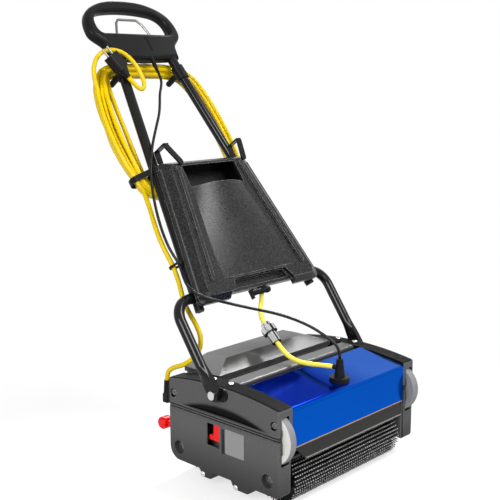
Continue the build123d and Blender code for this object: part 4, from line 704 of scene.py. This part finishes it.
# height of the painted highlight along the splash guard's lower edge
GUARD_EDGE = 0.0030
COVER_TRIM_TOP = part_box("front_cover")[0].z + TRIM_LINE
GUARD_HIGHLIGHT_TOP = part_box("splash_guard")[0].z + GUARD_EDGE
CAP_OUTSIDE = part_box("right_upper_cap")[1].x
SEAM_LINES = (0.1495, 0.1545)
BLACK = (0.0060, 0.0060, 0.0065)
CHARCOAL = (0.085, 0.085, 0.086)
SHADOW = grey(0.004)


class Finishes(Enum):
    """Every finish on the machine, by the record's slot name or by a name of its own."""

    housing_plastic = LowerEdge(
        CHARCOAL, 0.5, specular=0.1, mottle=0.2, speck=0.4, worn=grey(0.22), dust=0.03,
        # the second colour is painted shade, darker towards the bottom
        second=(0.040, 0.040, 0.041), top=0.02, fade=0.11,
    )
    cap_plastic = CapPaintedShade(
        CHARCOAL, 0.5, specular=0.03, mottle=0.2, speck=0.4, worn=grey(0.22),
        # the second colour is painted shade on the tops and in the scoop
        second=SHADOW, outside=CAP_OUTSIDE,
    )
    # the second colour is painted shade in the seam's grooves
    seam_casting = SeamPaintedShade(CHARCOAL, 0.5, Grain.COARSE, specular=0.1, second=SHADOW, heights=SEAM_LINES)
    black_plastic = Finish(BLACK, 0.36, specular=0.1, worn=grey(0.03))
    frame_casting = Finish((0.05, 0.05, 0.052), 0.5, Grain.COARSE, worn=grey(0.2))
    grey_plastic = Finish(grey(0.12), 0.36, specular=0.3, speck=0.4, worn=grey(0.3))
    hood_plastic = Finish(grey(0.035), 0.4, Grain.SMOOTH, specular=0.5, worn=grey(0.25))
    blue_paint = CoverPaint(
        (0.0, 0.070, 0.42), 0.12, Grain.PEEL, metallic=0.8, specular=0.05, mottle=0.03, speck=0.0,
        # the two tones of the top are painted shade on its left and painted reflection on its right
        sheen_tint=(0.4, 0.6, 1.0), painted_shade=(0.0, 0.008, 0.22), pale=(0.045, 0.105, 0.42),
        second=(0.42, 0.27, 0.13), second_metallic=0.6, top=COVER_TRIM_TOP,
    )
    smoked_plastic = SmokedSheet(
        (0.012, 0.011, 0.010), 0.26, Grain.SATIN, specular=0.12, speck=0.0,
        # the second colour is a painted highlight along the lower cut edge
        second=(0.26, 0.26, 0.25), top=GUARD_HIGHLIGHT_TOP, clear=0.12,
    )
    black_steel = Finish(BLACK, 0.15, Grain.SMOOTH, specular=0.2, mottle=0.2, speck=0.0)
    screw_steel = Finish(grey(0.10), 0.25, Grain.SATIN, 1.0, worn=grey(0.6))
    bright_steel = Finish((0.55, 0.55, 0.54), 0.22, Grain.SATIN, 1.0, worn=(0.8, 0.8, 0.78))
    chromed = PaintedReflectionBands(
        (0.60, 0.61, 0.60), 0.12, Grain.SMOOTH, 1.0, mottle=0.05, speck=0.0,
        # the second colour is a painted reflection of the dark room, in bands
        second=grey(0.03), second_metallic=1.0,
    )
    motor_iron = Finish((0.06, 0.07, 0.08), 0.5, Grain.COARSE, 0.4)
    bearing_brass = Finish((0.62, 0.44, 0.18), 0.32, Grain.SATIN, 1.0)
    belt_rubber = Finish(grey(0.012), 0.75, Grain.COARSE)
    brush_plastic = Finish((0.010, 0.010, 0.011), 0.5)
    bristle_nylon = Bristle(grey(0.006), 0.5, specular=0.15)
    red_plastic = Finish((0.80, 0.002, 0.003), 0.3, Grain.SATIN, mottle=0.05, speck=0.05)
    wheel_plastic = OuterFaces(
        (0.19, 0.195, 0.20), 0.45, worn=(0.55, 0.55, 0.54), dust=0.03, second=(0.62, 0.62, 0.60)
    )
    yellow_cord = CordSheath((0.74, 0.525, 0.0), 0.34, mottle=0.08, twist_depth=0.00001)
    lemon_hose = CordSheath((0.93, 0.80, 0.10), 0.3, mottle=0.06, twist_depth=0.00002)
    cable_sheath = CordSheath(BLACK, 0.36, lay=0.03)
    tank_skin = HandRecessShade(
        # the rubbed-edge colour here is a painted highlight along the tank's rims and ribs
        (0.003, 0.003, 0.0031), 0.27, Grain.COARSE, specular=0.2, speck=7.0, worn=grey(0.20),
        # the second colour is painted shade in the hand recess
        wear_radius=0.0025, second=grey(0.0005),
    )
    brushed_plate = BrushedMetal(grey(0.30), 0.4, metallic=1.0, mottle=0.3)
    bail_wire = Finish((0.20, 0.20, 0.195), 0.3, Grain.SMOOTH, 1.0, speck=0.0)
    plug_moulding = PastPlane(
        BLACK, 0.4, specular=0.12, worn=grey(0.03), second=(0.28, 0.27, 0.23), second_metallic=1.0,
        on_plane=tuple(PLUG_FACE), axis=tuple(PLUG_BEYOND - PLUG_FACE),
    )


# Meshes


def new_object(name: str, data: ID) -> Object:
    """Adds an object to the scene.

    Args:
        name: the object's name.
        data: its mesh, lamp or camera.

    Returns:
        The object, at the origin.
    """
    made = bpy.data.objects.new(name, data)
    bpy.context.scene.collection.objects.link(made)
    return made


def shade_smooth(mesh: Mesh) -> None:
    """Makes all faces of a mesh smooth."""
    mesh.polygons.foreach_set("use_smooth", np.ones(len(mesh.polygons), dtype=bool))


def new_piece(name: str, vertices: np.ndarray, faces: list) -> Object:
    """A smooth mesh object at the origin.

    Args:
        name: the piece's name.
        vertices: points in the CAD frame, one row each.
        faces: vertex indices of each face.

    Returns:
        The object, linked to the scene.
    """
    mesh = bpy.data.meshes.new(name)
    mesh.from_pydata(vertices.tolist(), [], faces)
    shade_smooth(mesh)
    mesh.update()
    return new_object(name, mesh)


def merged_copy(given: Mesh, within: float, edge_angle: float) -> Mesh:
    """A copy of a CAD mesh whose loose faces are joined, smooth except at its edges.

    Args:
        given: the CAD mesh.
        within: distance up to which two points become one.
        edge_angle: angle between two faces past which their edge stays sharp.

    Returns:
        The copy.
    """
    mesh = given.copy()
    loose_normals = mesh.attributes.get("custom_normal")
    if loose_normals is not None:
        mesh.attributes.remove(loose_normals)
    work = bmesh.new()
    work.from_mesh(mesh)
    bmesh.ops.remove_doubles(work, verts=work.verts, dist=within)
    work.to_mesh(mesh)
    work.free()
    shade_smooth(mesh)
    mesh.set_sharp_from_angle(angle=edge_angle)
    return mesh


def grid_quads(rows: int, columns: int) -> np.ndarray:
    """Quads of a grid whose last column joins the first.

    Args:
        rows: points along the grid.
        columns: points round it.

    Returns:
        Vertex indices, four for each quad.
    """
    row = np.arange(rows - 1)[:, None] * columns
    column = np.arange(columns)[None, :]
    after = (column + 1) % columns
    corners = (row + column, row + after, row + columns + after, row + columns + column)
    return np.stack(corners, axis=-1).reshape(-1, 4)


def nurbs_points(route: np.ndarray, steps: int) -> np.ndarray:
    """Points along the smooth NURBS curve of a route.

    Args:
        route: control points, one row each.
        steps: points worked out for each control point.

    Returns:
        Points in order along the curve, one row each.
    """
    curve = bpy.data.curves.new("route", "CURVE")
    curve.dimensions = "3D"
    spline = curve.splines.new("NURBS")
    spline.points.add(len(route) - 1)
    weighted = np.column_stack((route, np.ones(len(route))))
    spline.points.foreach_set("co", weighted.ravel())
    spline.order_u = 3
    spline.use_endpoint_u = True
    spline.resolution_u = steps
    holder = bpy.data.objects.new("route", curve)
    line = bpy.data.meshes.new_from_object(holder)
    points = np.empty(len(line.vertices) * 3)
    line.vertices.foreach_get("co", points)
    bpy.data.objects.remove(holder)
    bpy.data.curves.remove(curve)
    bpy.data.meshes.remove(line)
    return points.reshape(-1, 3)


def unit(vectors: np.ndarray) -> np.ndarray:
    """Rows scaled to length 1."""
    return vectors / np.linalg.norm(vectors, axis=-1, keepdims=True)


def length_along(path: np.ndarray) -> np.ndarray:
    """Distance of each path point from the first, along the path."""
    runs = np.linalg.norm(np.diff(path, axis=0), axis=1)
    return np.concatenate(([0.0], np.cumsum(runs)))


def ring_axes(path: np.ndarray) -> tuple[np.ndarray, np.ndarray]:
    """Two axes across a path at each of its points, carried along without twist.

    The first axis at a point is the one before it less its share along the new tangent.

    Args:
        path: points in order, one row each.

    Returns:
        The two axes, one row for each point.
    """
    tangents = unit(np.gradient(path, axis=0))
    first = np.empty_like(path)
    axis = np.cross(tangents[0], np.eye(3)[np.argmin(np.abs(tangents[0]))])
    for index, tangent in enumerate(tangents):
        axis = unit(axis - tangent * np.dot(axis, tangent))
        first[index] = axis
    return first, np.cross(tangents, first)


def spokes(first: np.ndarray, second: np.ndarray, sides: int) -> np.ndarray:
    """Directions round each ring: cos(a) along its first axis plus sin(a) along its second."""
    turn = (np.arange(sides) * math.tau / sides)[:, None]
    return first[:, None] * np.cos(turn) + second[:, None] * np.sin(turn)


def map_along(mesh: Mesh, path: np.ndarray, quads: np.ndarray, sides: int) -> None:
    """Gives a tube a UV map of the share of a turn and the length along its path.

    Where the last quad of a ring meets its first point, the share is a whole turn.

    Args:
        mesh: the tube, with its quads first.
        path: its ring centres.
        quads: its quads.
        sides: points of each ring.
    """
    corner = np.empty(len(mesh.loops), dtype=np.int32)
    mesh.loops.foreach_get("vertex_index", corner)
    share = np.tile(np.arange(sides) / sides, len(path))[corner]
    side = quads % sides
    wrapped = (side == 0) & (side == sides - 1).any(axis=1)[:, None]
    share[: quads.size][wrapped.ravel()] = 1.0
    along = np.repeat(length_along(path), sides)[corner]
    layer = mesh.uv_layers.new(name="along")
    layer.uv.foreach_set("vector", np.column_stack((share, along)).ravel())


def tube_piece(name: str, path: np.ndarray, radius: float, sides: int) -> Object:
    """A round tube along a path, closed at both ends.

    A ring point is the path point plus the radius times a spoke of that ring's two axes.

    Args:
        name: the piece's name.
        path: ring centres in order, one row each.
        radius: the tube's radius.
        sides: points of each ring.

    Returns:
        The tube.
    """
    vertices = (path[:, None] + radius * spokes(*ring_axes(path), sides)).reshape(-1, 3)
    quads = grid_quads(len(path), sides)
    last = (len(path) - 1) * sides
    caps = [list(range(sides - 1, -1, -1)), list(range(last, last + sides))]
    piece = new_piece(name, vertices, quads.tolist() + caps)
    map_along(piece.data, path, quads, sides)
    return piece


# Cords


class FarEnd(Enum):
    """What a cord ends in."""

    PLUG = "plug"
    FITTING = "fitting"
    OBJECT = "object"


class Stiffness(Enum):
    """How a cord bends."""

    MEDIUM = "medium"
    STIFF = "stiff"


class Lay(Enum):
    """How a cord lies."""

    COILED = "coiled"
    LOOSE = "loose"


@dataclass
class Cord:
    """A round cord along a smooth curve, which stands for its plain CAD solids."""

    name: str
    nodes: tuple[str, ...]
    finish: Finishes
    diameter: float
    length: float
    far_end: FarEnd
    lay: Lay = Lay.LOOSE
    stiffness: Stiffness = Stiffness.MEDIUM
    carried: tuple[Object, ...] = ()  # pieces on the cord
    sides: int = 12
    steps: int = 8

    POINTS = ()  # of a cord whose route is just these

    def route(self) -> np.ndarray:
        """Control points in the CAD frame, from the exit on."""
        return np.array(self.POINTS)

    def bend(self) -> tuple[Point, Point]:
        """Where its bend begins at the base and where it ends at the handle."""
        raise NotImplementedError

    def build(self) -> Object:
        """Returns:
            The cord's piece.
        """
        path = nurbs_points(self.route(), self.steps)
        piece = tube_piece(self.name, path, self.diameter / 2, self.sides)
        start, end = self.bend()
        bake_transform(piece)
        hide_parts(*self.nodes)
        return piece


@dataclass
class MainsCord(Cord):
    """Supply cord: up from the gland, along the left tube, wound on the hooks, looped round to the plug.

    A pair of shares is the one sideways and the one in depth.
    """

    turns: int = 11
    spacing: float = 0.0102  # between neighbouring turns
    flat: tuple[float, float] = (1.0, 0.88)  # share of the spacing that the bundle keeps
    fan: tuple[float, float] = (0.5, 0.1)  # share by which the turns spread between hooks and strap
    free_run: Span = (0.505, 0.768)  # s of the strap and of the hooks
    on_hooks: Span = (0.738, 0.768)  # s over which the bundle is pressed on the hooks
    in_strap: tuple[float, float, float] = (0.448, 0.488, 0.528)  # s over which the strap draws it together
    pressed: float = 0.28  # share by which it is flatter on the hooks
    drawn: float = 0.2  # share by which it is thinner in the strap
    right_share: float = 0.25  # how much of the spread the right side has
    stray: float = 0.003  # how far a turn wanders from its place in the bundle

    INNER = 6  # turns round the middle one
    OUTER_RING = 1.75  # distance of the turns outside those, in spacings
    WAVES = 2.3  # of the wander in each turn
    PHASES = (2.1, 3.7)  # by which the wander moves on from turn to turn
    ON_BASE = (
        (-0.208, 0.164, 0.196), (-0.208, 0.164, 0.208), (-0.208, 0.1565, 0.219), (-0.2065, 0.142, 0.228),
        (-0.203, 0.122, 0.235), (-0.197, 0.101, 0.249), (-0.190, 0.086, 0.270), (-0.185, 0.086, 0.294),
        (-0.181, 0.102, 0.316), (-0.178, 0.128, 0.337),
    )
    ON_HANDLE = (
        (-0.176, 0.208, -0.027), (-0.177, 0.240, -0.016), (-0.179, 0.274, -0.009), (-0.184, 0.317, -0.008),
        (-0.180, 0.360, -0.010), (-0.169, 0.401, -0.014), (-0.156, 0.440, -0.023), (-0.145, 0.474, -0.033),
    )
    BEND_POINTS = (4, 3)  # points of the two leads between which the cord bends
    LOOP = (
        (-0.152, 0.535), (-0.155, 0.605), (-0.148, 0.675), (-0.133, 0.735), (-0.105, 0.768), (-0.020, 0.769),
        (0.105, 0.768), (0.138, 0.738), (0.151, 0.690), (0.161, 0.625), (0.163, 0.560), (0.155, 0.495),
        (0.112, 0.450), (0.010, 0.440), (-0.100, 0.444), (-0.140, 0.464), (-0.1445, 0.490),
    )
    TO_PLUG = (
        (-0.149, 0.690, -0.033), (-0.154, 0.710, -0.024), (-0.159, 0.738, -0.011), (-0.156, 0.763, 0.003),
        (-0.139, 0.782, 0.014), (-0.114, 0.788, 0.021), (-0.092, 0.780, 0.027), (-0.075, 0.764, 0.028),
        (-0.064, 0.743, 0.026), (-0.057, 0.721, 0.022), (-0.055, 0.701, 0.018), (-0.062, 0.688, 0.015),
        (-0.0766, 0.6879, 0.0145), (-0.094, 0.716, 0.0195),
    )
    HANK_OFF = -0.033
    LAST_POINTS = 2  # of the loop, before the cord leaves it for the plug

    def places(self) -> np.ndarray:
        """Each turn's place in the bundle: one in the middle, six round it, the rest outside them.

        Returns:
            Rows of the place sideways and in depth.
        """
        index = np.arange(self.turns + 2)  # the last turn is followed by a short one, which moves on too
        outside = index > self.INNER
        ring = np.where(index == 0, 0.0, np.where(outside, self.OUTER_RING, 1.0))
        step = math.tau / self.INNER
        angle = (index - 1) * step + np.where(outside, step / 2, 0.0)
        return self.spacing * ring[:, None] * np.column_stack((np.cos(angle), np.sin(angle))) * self.flat

    def wound(self) -> np.ndarray:
        """The wound turns' control points.

        A point is the loop's point plus the turn's place in the bundle along the loop's outward normal
        and along off. The place moves on to the next turn's over each turn, spreads by a half sine of s
        between the strap and the hooks, is pressed on the hooks and drawn together in the strap, and
        wanders by a slow sine of its own.

        Returns:
            Rows of x, s and off.
        """
        loop = np.array(self.LOOP)
        count = len(loop)
        along = unit(np.roll(loop, -1, axis=0) - np.roll(loop, 1, axis=0))
        outward = np.column_stack((-along[:, 1], along[:, 0]))
        step = np.arange(self.turns * count + self.LAST_POINTS)
        turn, point = np.divmod(step, count)
        share = (point / count)[:, None]
        places = self.places()
        place = places[turn] * (1 - share) + places[turn + 1] * share
        strap, hooks = self.free_run
        on_left, height = loop[point, :1] < 0.0, loop[point, 1:]
        free = np.sin(math.pi * np.clip((height - strap) / (hooks - strap), 0.0, 1.0))
        free = free * np.where(on_left, 1.0, self.right_share)
        hooked = np.interp(height, self.on_hooks, (0.0, 1.0))
        strapped = np.interp(height, self.in_strap, (0.0, 1.0, 0.0)) * on_left
        place = place * (1.0 + free * self.fan - hooked * (self.pressed, 0.0) - strapped * self.drawn)
        wave = math.tau * (self.WAVES * step / count)[:, None] + turn[:, None] * self.PHASES
        place = place + self.stray * np.sin(wave) * free
        flat = loop[point] + outward[point] * place[:, :1]
        return np.column_stack((flat, self.HANK_OFF + place[:, 1]))

    def route(self) -> np.ndarray:
        """Lead on the base, lead on the handle, the turns, and the loop round to the plug."""
        parts = (self.ON_HANDLE, self.wound(), self.TO_PLUG)
        return np.vstack((self.ON_BASE, *(HANDLE.place(part) for part in parts)))

    def bend(self) -> tuple[Point, Point]:
        """The lead bends between the base and the handle."""
        base, handle = self.BEND_POINTS
        return self.ON_BASE[base], HANDLE.place(self.ON_HANDLE)[handle]


@dataclass
class ControlCable(Cord):
    """Sheathed pull cable from the ferrule under the head, down the left tube and over to the valve."""

    ON_HANDLE = (
        (0.010, 0.735, 0.009), (0.009, 0.716, 0.009), (-0.004, 0.696, 0.011), (-0.020, 0.676, 0.013),
        (-0.034, 0.652, 0.015), (-0.053, 0.622, 0.018), (-0.082, 0.586, 0.019), (-0.112, 0.546, 0.017),
        (-0.135, 0.505, 0.012), (-0.150, 0.464, 0.006), (-0.162, 0.424, 0.003), (-0.172, 0.384, 0.0025),
        (-0.180, 0.343, 0.004), (-0.182, 0.306, 0.005), (-0.1745, 0.273, 0.005), (-0.184, 0.243, 0.010),
        (-0.193, 0.219, 0.019), (-0.191, 0.196, 0.031), (-0.176, 0.178, 0.040), (-0.150, 0.165, 0.043),
    )
    ON_BASE = (
        (-0.120, 0.060, 0.356), (-0.084, 0.038, 0.344), (-0.052, -0.008, 0.334), (-0.025, -0.053, 0.317),
        (-0.008, -0.090, 0.295), (0.0, -0.118, 0.275), (0.0, -0.118, 0.253),
    )

    def route(self) -> np.ndarray:
        """From the ferrule to the top of the valve's boot."""
        return np.vstack((HANDLE.place(self.ON_HANDLE), self.ON_BASE))

    def bend(self) -> tuple[Point, Point]:
        """The free stretch bends between the valve and the handle."""
        return self.ON_BASE[-2], HANDLE.place(self.ON_HANDLE)[-1]


def beyond(first: Point, second: Point, share: float) -> Point:
    """The far end of a line from the first point that has the second one at a share of its length."""
    return tuple(np.array(first) + (np.array(second) - np.array(first)) / share)


@dataclass(frozen=True)
class HoseCoupling:
    """Quick coupling that hangs in the solution hose."""

    node: str = "hose_coupling"
    finish: Finishes = Finishes.chromed
    way: float = 0.58  # its place on the way of the hose's bend from the base to the handle
    middle: Point = (-0.016, 0.0518, 0.2767)
    run: float = 4.0  # so long that the whole coupling turns as one
    within: float = 0.00001  # distance of points that are merged
    edge_angle: float = math.radians(30.0)

    def build(self) -> Object:
        """Copies the CAD piece with its points merged, and hides the CAD piece.

        Returns:
            The copy, which stands for the CAD piece.
        """
        mesh = merged_copy(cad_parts[self.node].data, self.within, self.edge_angle)
        piece = new_object("solution_coupling", mesh)
        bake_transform(piece)
        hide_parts(self.node)
        return piece


COUPLING = HoseCoupling()


@dataclass
class UpperHose(Cord):
    """Solution hose from the tank's outlet to the coupling."""

    POINTS = (
        (0.0, 0.0926, 0.3533), (0.0, 0.0926, 0.3413), (-0.003, 0.0935, 0.326), (-0.008, 0.089, 0.3115),
        (-0.013, 0.0797, 0.3001), (-0.014, 0.0705, 0.2924),
    )

    def bend(self) -> tuple[Point, Point]:
        """It bends between the coupling and the tank's outlet on the handle."""
        return beyond(self.POINTS[1], self.POINTS[-1], 1.0 - COUPLING.way), self.POINTS[1]


@dataclass
class LowerHose(Cord):
    """Solution hose from the coupling to the valve's side port."""

    POINTS = (
        (-0.018, 0.033, 0.261), (-0.0192, 0.0215, 0.2514), (-0.021, 0.002, 0.2395), (-0.021, -0.020, 0.2335),
        (-0.0195, -0.043, 0.232), (-0.015, -0.066, 0.233), (-0.00895, -0.0867, 0.2345),
        (-0.004, -0.104, 0.2345),
    )

    def bend(self) -> tuple[Point, Point]:
        """It bends between the valve and the coupling."""
        return self.POINTS[-2], beyond(self.POINTS[-2], self.POINTS[0], COUPLING.way)


# Brushes


@dataclass
class Brush:
    """Bristle tufts of one cylindrical brush, in rows round its core."""

    name: str
    node: str
    body: str
    finish: Finishes = Finishes.bristle_nylon
    rows: int = 40
    pitch: float = 0.0067  # between tufts of a row
    stagger: float = 0.5  # of a pitch, by which every other row is moved along
    strands: int = 7
    root_spread: float = 0.0009
    tip_spread: float = 0.0010
    out_of_place: float = 0.4  # radians by which a strand may stand aside in its tuft
    off_middle: Span = (0.75, 1.1)  # least and most of the spread that a strand has
    strand_radius: float = 0.0005
    tip_radius: float = 0.0006
    uneven: float = 0.0012  # by which the shortest strands fall short
    core_radius: float = 0.0245
    margin: float = 0.003
    seed: int = 7

    CORNERS = 3  # of a strand's section
    # Faces of one strand: points 0 to 2 are at its root, 3 to 5 at its tip
    SIDE_FACES = ((0, 1, 4, 3), (1, 2, 5, 4), (2, 0, 3, 5))
    CAPS = ((3, 4, 5), (2, 1, 0))

    def strand_ends(self) -> tuple[np.ndarray, np.ndarray]:
        """Works out where each strand starts and ends.

        A strand starts at the core at its tuft's angle and place along the axis, plus a spread round the
        tuft's centre, and ends at the brush's radius with a wider spread. Rows are staggered along the axis.

        Returns:
            Roots and tips, one row for each strand.
        """
        low, high = (np.array(corner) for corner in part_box(self.node))
        middle, radius = (low + high) / 2, (high[2] - low[2]) / 2
        rng = np.random.default_rng(self.seed)
        count = int((high[0] - low[0] - 2 * self.margin) / self.pitch)
        counts = (self.rows, count, self.strands)
        row, tuft, strand = (index.ravel() for index in np.indices(counts))
        along = (tuft - (count - 1) / 2 + self.stagger / 2 * (-1.0) ** row) * self.pitch
        turn = row * math.tau / self.rows
        aside = rng.uniform(-self.out_of_place, self.out_of_place, len(row))
        spin = strand * math.tau / (self.strands - 1) + aside
        reach = np.where(strand == 0, 0.0, rng.uniform(*self.off_middle, len(row)))
        outer = radius - rng.uniform(0.0, self.uneven, len(row)) - self.tip_radius
        still = np.zeros(len(row))
        outward = np.column_stack((still, np.cos(turn), np.sin(turn)))
        onward = np.column_stack((still, -np.sin(turn), np.cos(turn)))

        def ends(distance: np.ndarray | float, spread: float) -> np.ndarray:
            """Strand ends at a distance from the axis, spread along the axis and round it.

            Args:
                distance: from the brush's axis.
                spread: from the tuft's middle.

            Returns:
                One row for each strand.
            """
            side = reach * spread * np.sin(spin)
            axial = np.outer(along + reach * spread * np.cos(spin), (1.0, 0.0, 0.0))
            far = np.sqrt(np.square(distance) - np.square(side))
            return middle + axial + outward * far[:, None] + onward * side[:, None]

        return ends(self.core_radius, self.root_spread), ends(outer, self.tip_spread)

    def build(self) -> Object:
        """Makes all strands as three-sided tapered prisms.

        A corner is the strand's end plus its radius times one of three spokes square to the strand.

        Returns:
            The tufts as one piece.
        """
        root, tip = self.strand_ends()
        first = unit(np.cross(tip - root, (1.0, 0.0, 0.0)))
        second = unit(np.cross(tip - root, first))
        across = spokes(first, second, self.CORNERS)
        rings = (root[:, None] + across * self.strand_radius, tip[:, None] + across * self.tip_radius)
        vertices = np.stack(rings, axis=1).reshape(-1, 3)
        base = np.arange(len(root))[:, None] * 2 * self.CORNERS
        faces = []
        for kind in (self.SIDE_FACES, self.CAPS):
            faces += np.concatenate([base + np.array(face) for face in kind]).tolist()
        piece = new_piece(self.name, vertices, faces)
        attribute = piece.data.attributes.new("tip", "FLOAT", "POINT")
        attribute.data.foreach_set("value", np.tile(np.repeat((0.0, 1.0), self.CORNERS), len(root)))
        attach(piece, self.body)
        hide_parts(self.node)
        return piece


# Dressing of the pieces


class Dresser:
    """Puts the finishes on pieces, each material built once."""

    OWN_FINISH = {
        "solution_tank": Finishes.tank_skin,
        "lever_plate": Finishes.brushed_plate,
        "bail": Finishes.bail_wire,
        "mains_plug": Finishes.plug_moulding,
        "cover_screws": Finishes.screw_steel,
        "rear_hood": Finishes.hood_plastic,
        "carry_bar": Finishes.hood_plastic,
        "left_side_frame": Finishes.seam_casting,
        "right_side_frame": Finishes.seam_casting,
        "left_upper_cap": Finishes.cap_plastic,
        "right_upper_cap": Finishes.cap_plastic,
    }

    def __init__(self) -> None:
        """Starts with no material made."""
        self.made: dict[Finishes, Material] = {}

    def dress(self, piece: Object, finish: Finishes) -> None:
        """Gives a piece one finish all over.

        Args:
            piece: the piece.
            finish: its finish.
        """
        if finish not in self.made:
            self.made[finish] = finish.value.material(finish.name)
        piece.data.materials.clear()
        piece.data.materials.append(self.made[finish])
        LOG.info("dressed %s in %s", piece.name, finish.name)

    def dress_node(self, node: str) -> None:
        """Gives a CAD node its own finish, or that of the record's slot which it came with.

        Args:
            node: the node's name.
        """
        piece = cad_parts[node]
        slot = piece.data.materials[0].name.split(".")[0]
        self.dress(piece, self.OWN_FINISH.get(node, Finishes[slot]))


# Studio


@dataclass(frozen=True)
class Softbox:
    """A large rectangular lamp that looks at the machine."""

    name: str
    place: Point
    width: float
    height: float
    power: float
    target: Point = (0.0, 0.1, 0.45)
    spread: float = math.pi

    def build(self) -> None:
        """Adds the lamp."""
        data = bpy.data.lights.new(self.name, "AREA")
        data.shape = "RECTANGLE"
        data.size = self.width
        data.size_y = self.height
        data.energy = self.power
        data.spread = self.spread
        away = Vector(self.place) - Vector(self.target)
        turned = away.to_track_quat("Z", "Y").to_matrix().to_4x4()
        new_object(self.name, data).matrix_world = Matrix.Translation(self.place) @ turned


@dataclass(frozen=True)
class Studio:
    """Camera, white surround, floor and lamps."""

    lens: float = 66.67  # in millimetres, as the next one
    sensor: float = 36.0
    eye: Point = (-1.4119, -1.2013, 0.8020)
    down: float = math.radians(10.52)
    right: float = math.radians(46.76)
    roll: float = math.radians(-0.17)
    floor_half: float = 8.0
    floor_tone: float = 0.45
    floor_glow: float = 0.65
    white_from: Span = (0.45, 1.1)  # distances over which the floor turns plain white
    sky: float = 0.18

    LAMPS = (
        Softbox("key", (0.8, -1.5, 2.4), 0.8, 1.1, 52.0),
        Softbox("left", (-2.5, -0.7, 1.4), 1.2, 1.2, 62.0),
        Softbox("front", (-0.3, -2.8, 1.2), 1.4, 1.2, 24.0),
        Softbox("back", (1.2, 2.4, 1.6), 1.0, 1.4, 16.0),
        Softbox("right", (1.16, 0.46, 1.69), 0.9, 0.3, 1.4, (-0.06, 0.1, 0.25), math.radians(18.0)),
    )

    def camera(self) -> None:
        """Adds the camera at the photograph's view."""
        data = bpy.data.cameras.new("camera")
        data.lens = self.lens
        data.sensor_width = self.sensor
        turned = Matrix.Rotation(-self.right, 4, "Z") @ Matrix.Rotation(math.pi / 2 - self.down, 4, "X")
        camera = new_object("camera", data)
        camera.matrix_world = Matrix.Translation(self.eye) @ turned @ Matrix.Rotation(self.roll, 4, "Z")
        bpy.context.scene.camera = camera

    @staticmethod
    def seen(graph: Graph) -> NodeSocket:
        """1 for rays from the camera, a mirror or glass, and 0 for the light that falls on things."""
        path = graph.add("LightPath").outputs
        return graph.most([path[f"Is {kind} Ray"] for kind in ("Camera", "Glossy", "Transmission")])

    def world(self) -> None:
        """Makes a white surround that lights softly."""
        world = bpy.data.worlds.new("surround")
        graph = empty_graph(world)
        strength = graph.math("MULTIPLY_ADD", self.seen(graph), 1.0 - self.sky, self.sky)
        back = graph.add("Background", {"Color": WHITE, "Strength": strength})
        graph.add("OutputWorld", {"Surface": back.outputs[0]})
        bpy.context.scene.world = world

    def floor(self) -> None:
        """Makes a pale floor that takes the shadow and turns plain white away from the machine."""
        corners = np.array([(-1.0, -1.0, 0.0), (1.0, -1.0, 0.0), (1.0, 1.0, 0.0), (-1.0, 1.0, 0.0)])
        piece = new_piece("floor", corners * self.floor_half, [[0, 1, 2, 3]])
        made = bpy.data.materials.new("floor")
        graph = empty_graph(made)
        seen = self.seen(graph)
        matt = graph.add("BsdfDiffuse", {"Color": grey(self.floor_tone)})
        glow = graph.add("Emission", {"Strength": graph.math("MULTIPLY", seen, self.floor_glow)})
        near = graph.add("AddShader", {0: matt.outputs[0], 1: glow.outputs[0]})
        away = graph.vectors("LENGTH", graph.place("Object"))["Value"]
        far = graph.math("MULTIPLY", seen, graph.ramp(away, *self.white_from))
        white = graph.add("Emission")
        both = graph.add("MixShader", {0: far, 1: near.outputs[0], 2: white.outputs[0]})
        graph.add("OutputMaterial", {"Surface": both.outputs[0]})
        piece.data.materials.append(made)

    def build(self) -> None:
        """Sets up the whole studio."""
        bpy.context.scene.view_settings.view_transform = "Standard"
        self.camera()
        self.world()
        self.floor()
        for lamp in self.LAMPS:
            lamp.build()


# The machine


def main() -> None:
    """Builds the machine's soft and fine pieces, dresses everything and lights it."""
    logging.basicConfig(level=logging.INFO, format="%(name)s: %(message)s")
    Studio().build()
    dresser = Dresser()
    coupling = COUPLING.build()
    dresser.dress(coupling, COUPLING.finish)
    pieces = [
        MainsCord(
            "mains_cord", ("mains_hank", "mains_lead", "mains_tail"), Finishes.yellow_cord, 0.010, 13.3,
            FarEnd.PLUG, Lay.COILED, carried=(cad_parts["mains_plug"],),
        ),
        ControlCable(
            "valve_cable", ("control_cable",), Finishes.cable_sheath, 0.006, 0.95, FarEnd.OBJECT,
            stiffness=Stiffness.STIFF,
        ),
        UpperHose(
            "solution_hose_upper", ("hose_upper",), Finishes.lemon_hose, 0.010, 0.071, FarEnd.FITTING,
            carried=(coupling,),
        ),
        LowerHose("solution_hose_lower", ("hose_lower",), Finishes.lemon_hose, 0.010, 0.147, FarEnd.OBJECT),
    ]
    for side in ("front", "rear"):
        pieces.append(Brush(f"{side}_tufts", f"{side}_brush_bristles", f"{side}_brush"))
    for piece in pieces:
        dresser.dress(piece.build(), piece.finish)
    for node in sorted(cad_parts):
        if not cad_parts[node].hide_render:
            dresser.dress_node(node)


if __name__ == "__main__":
    main()
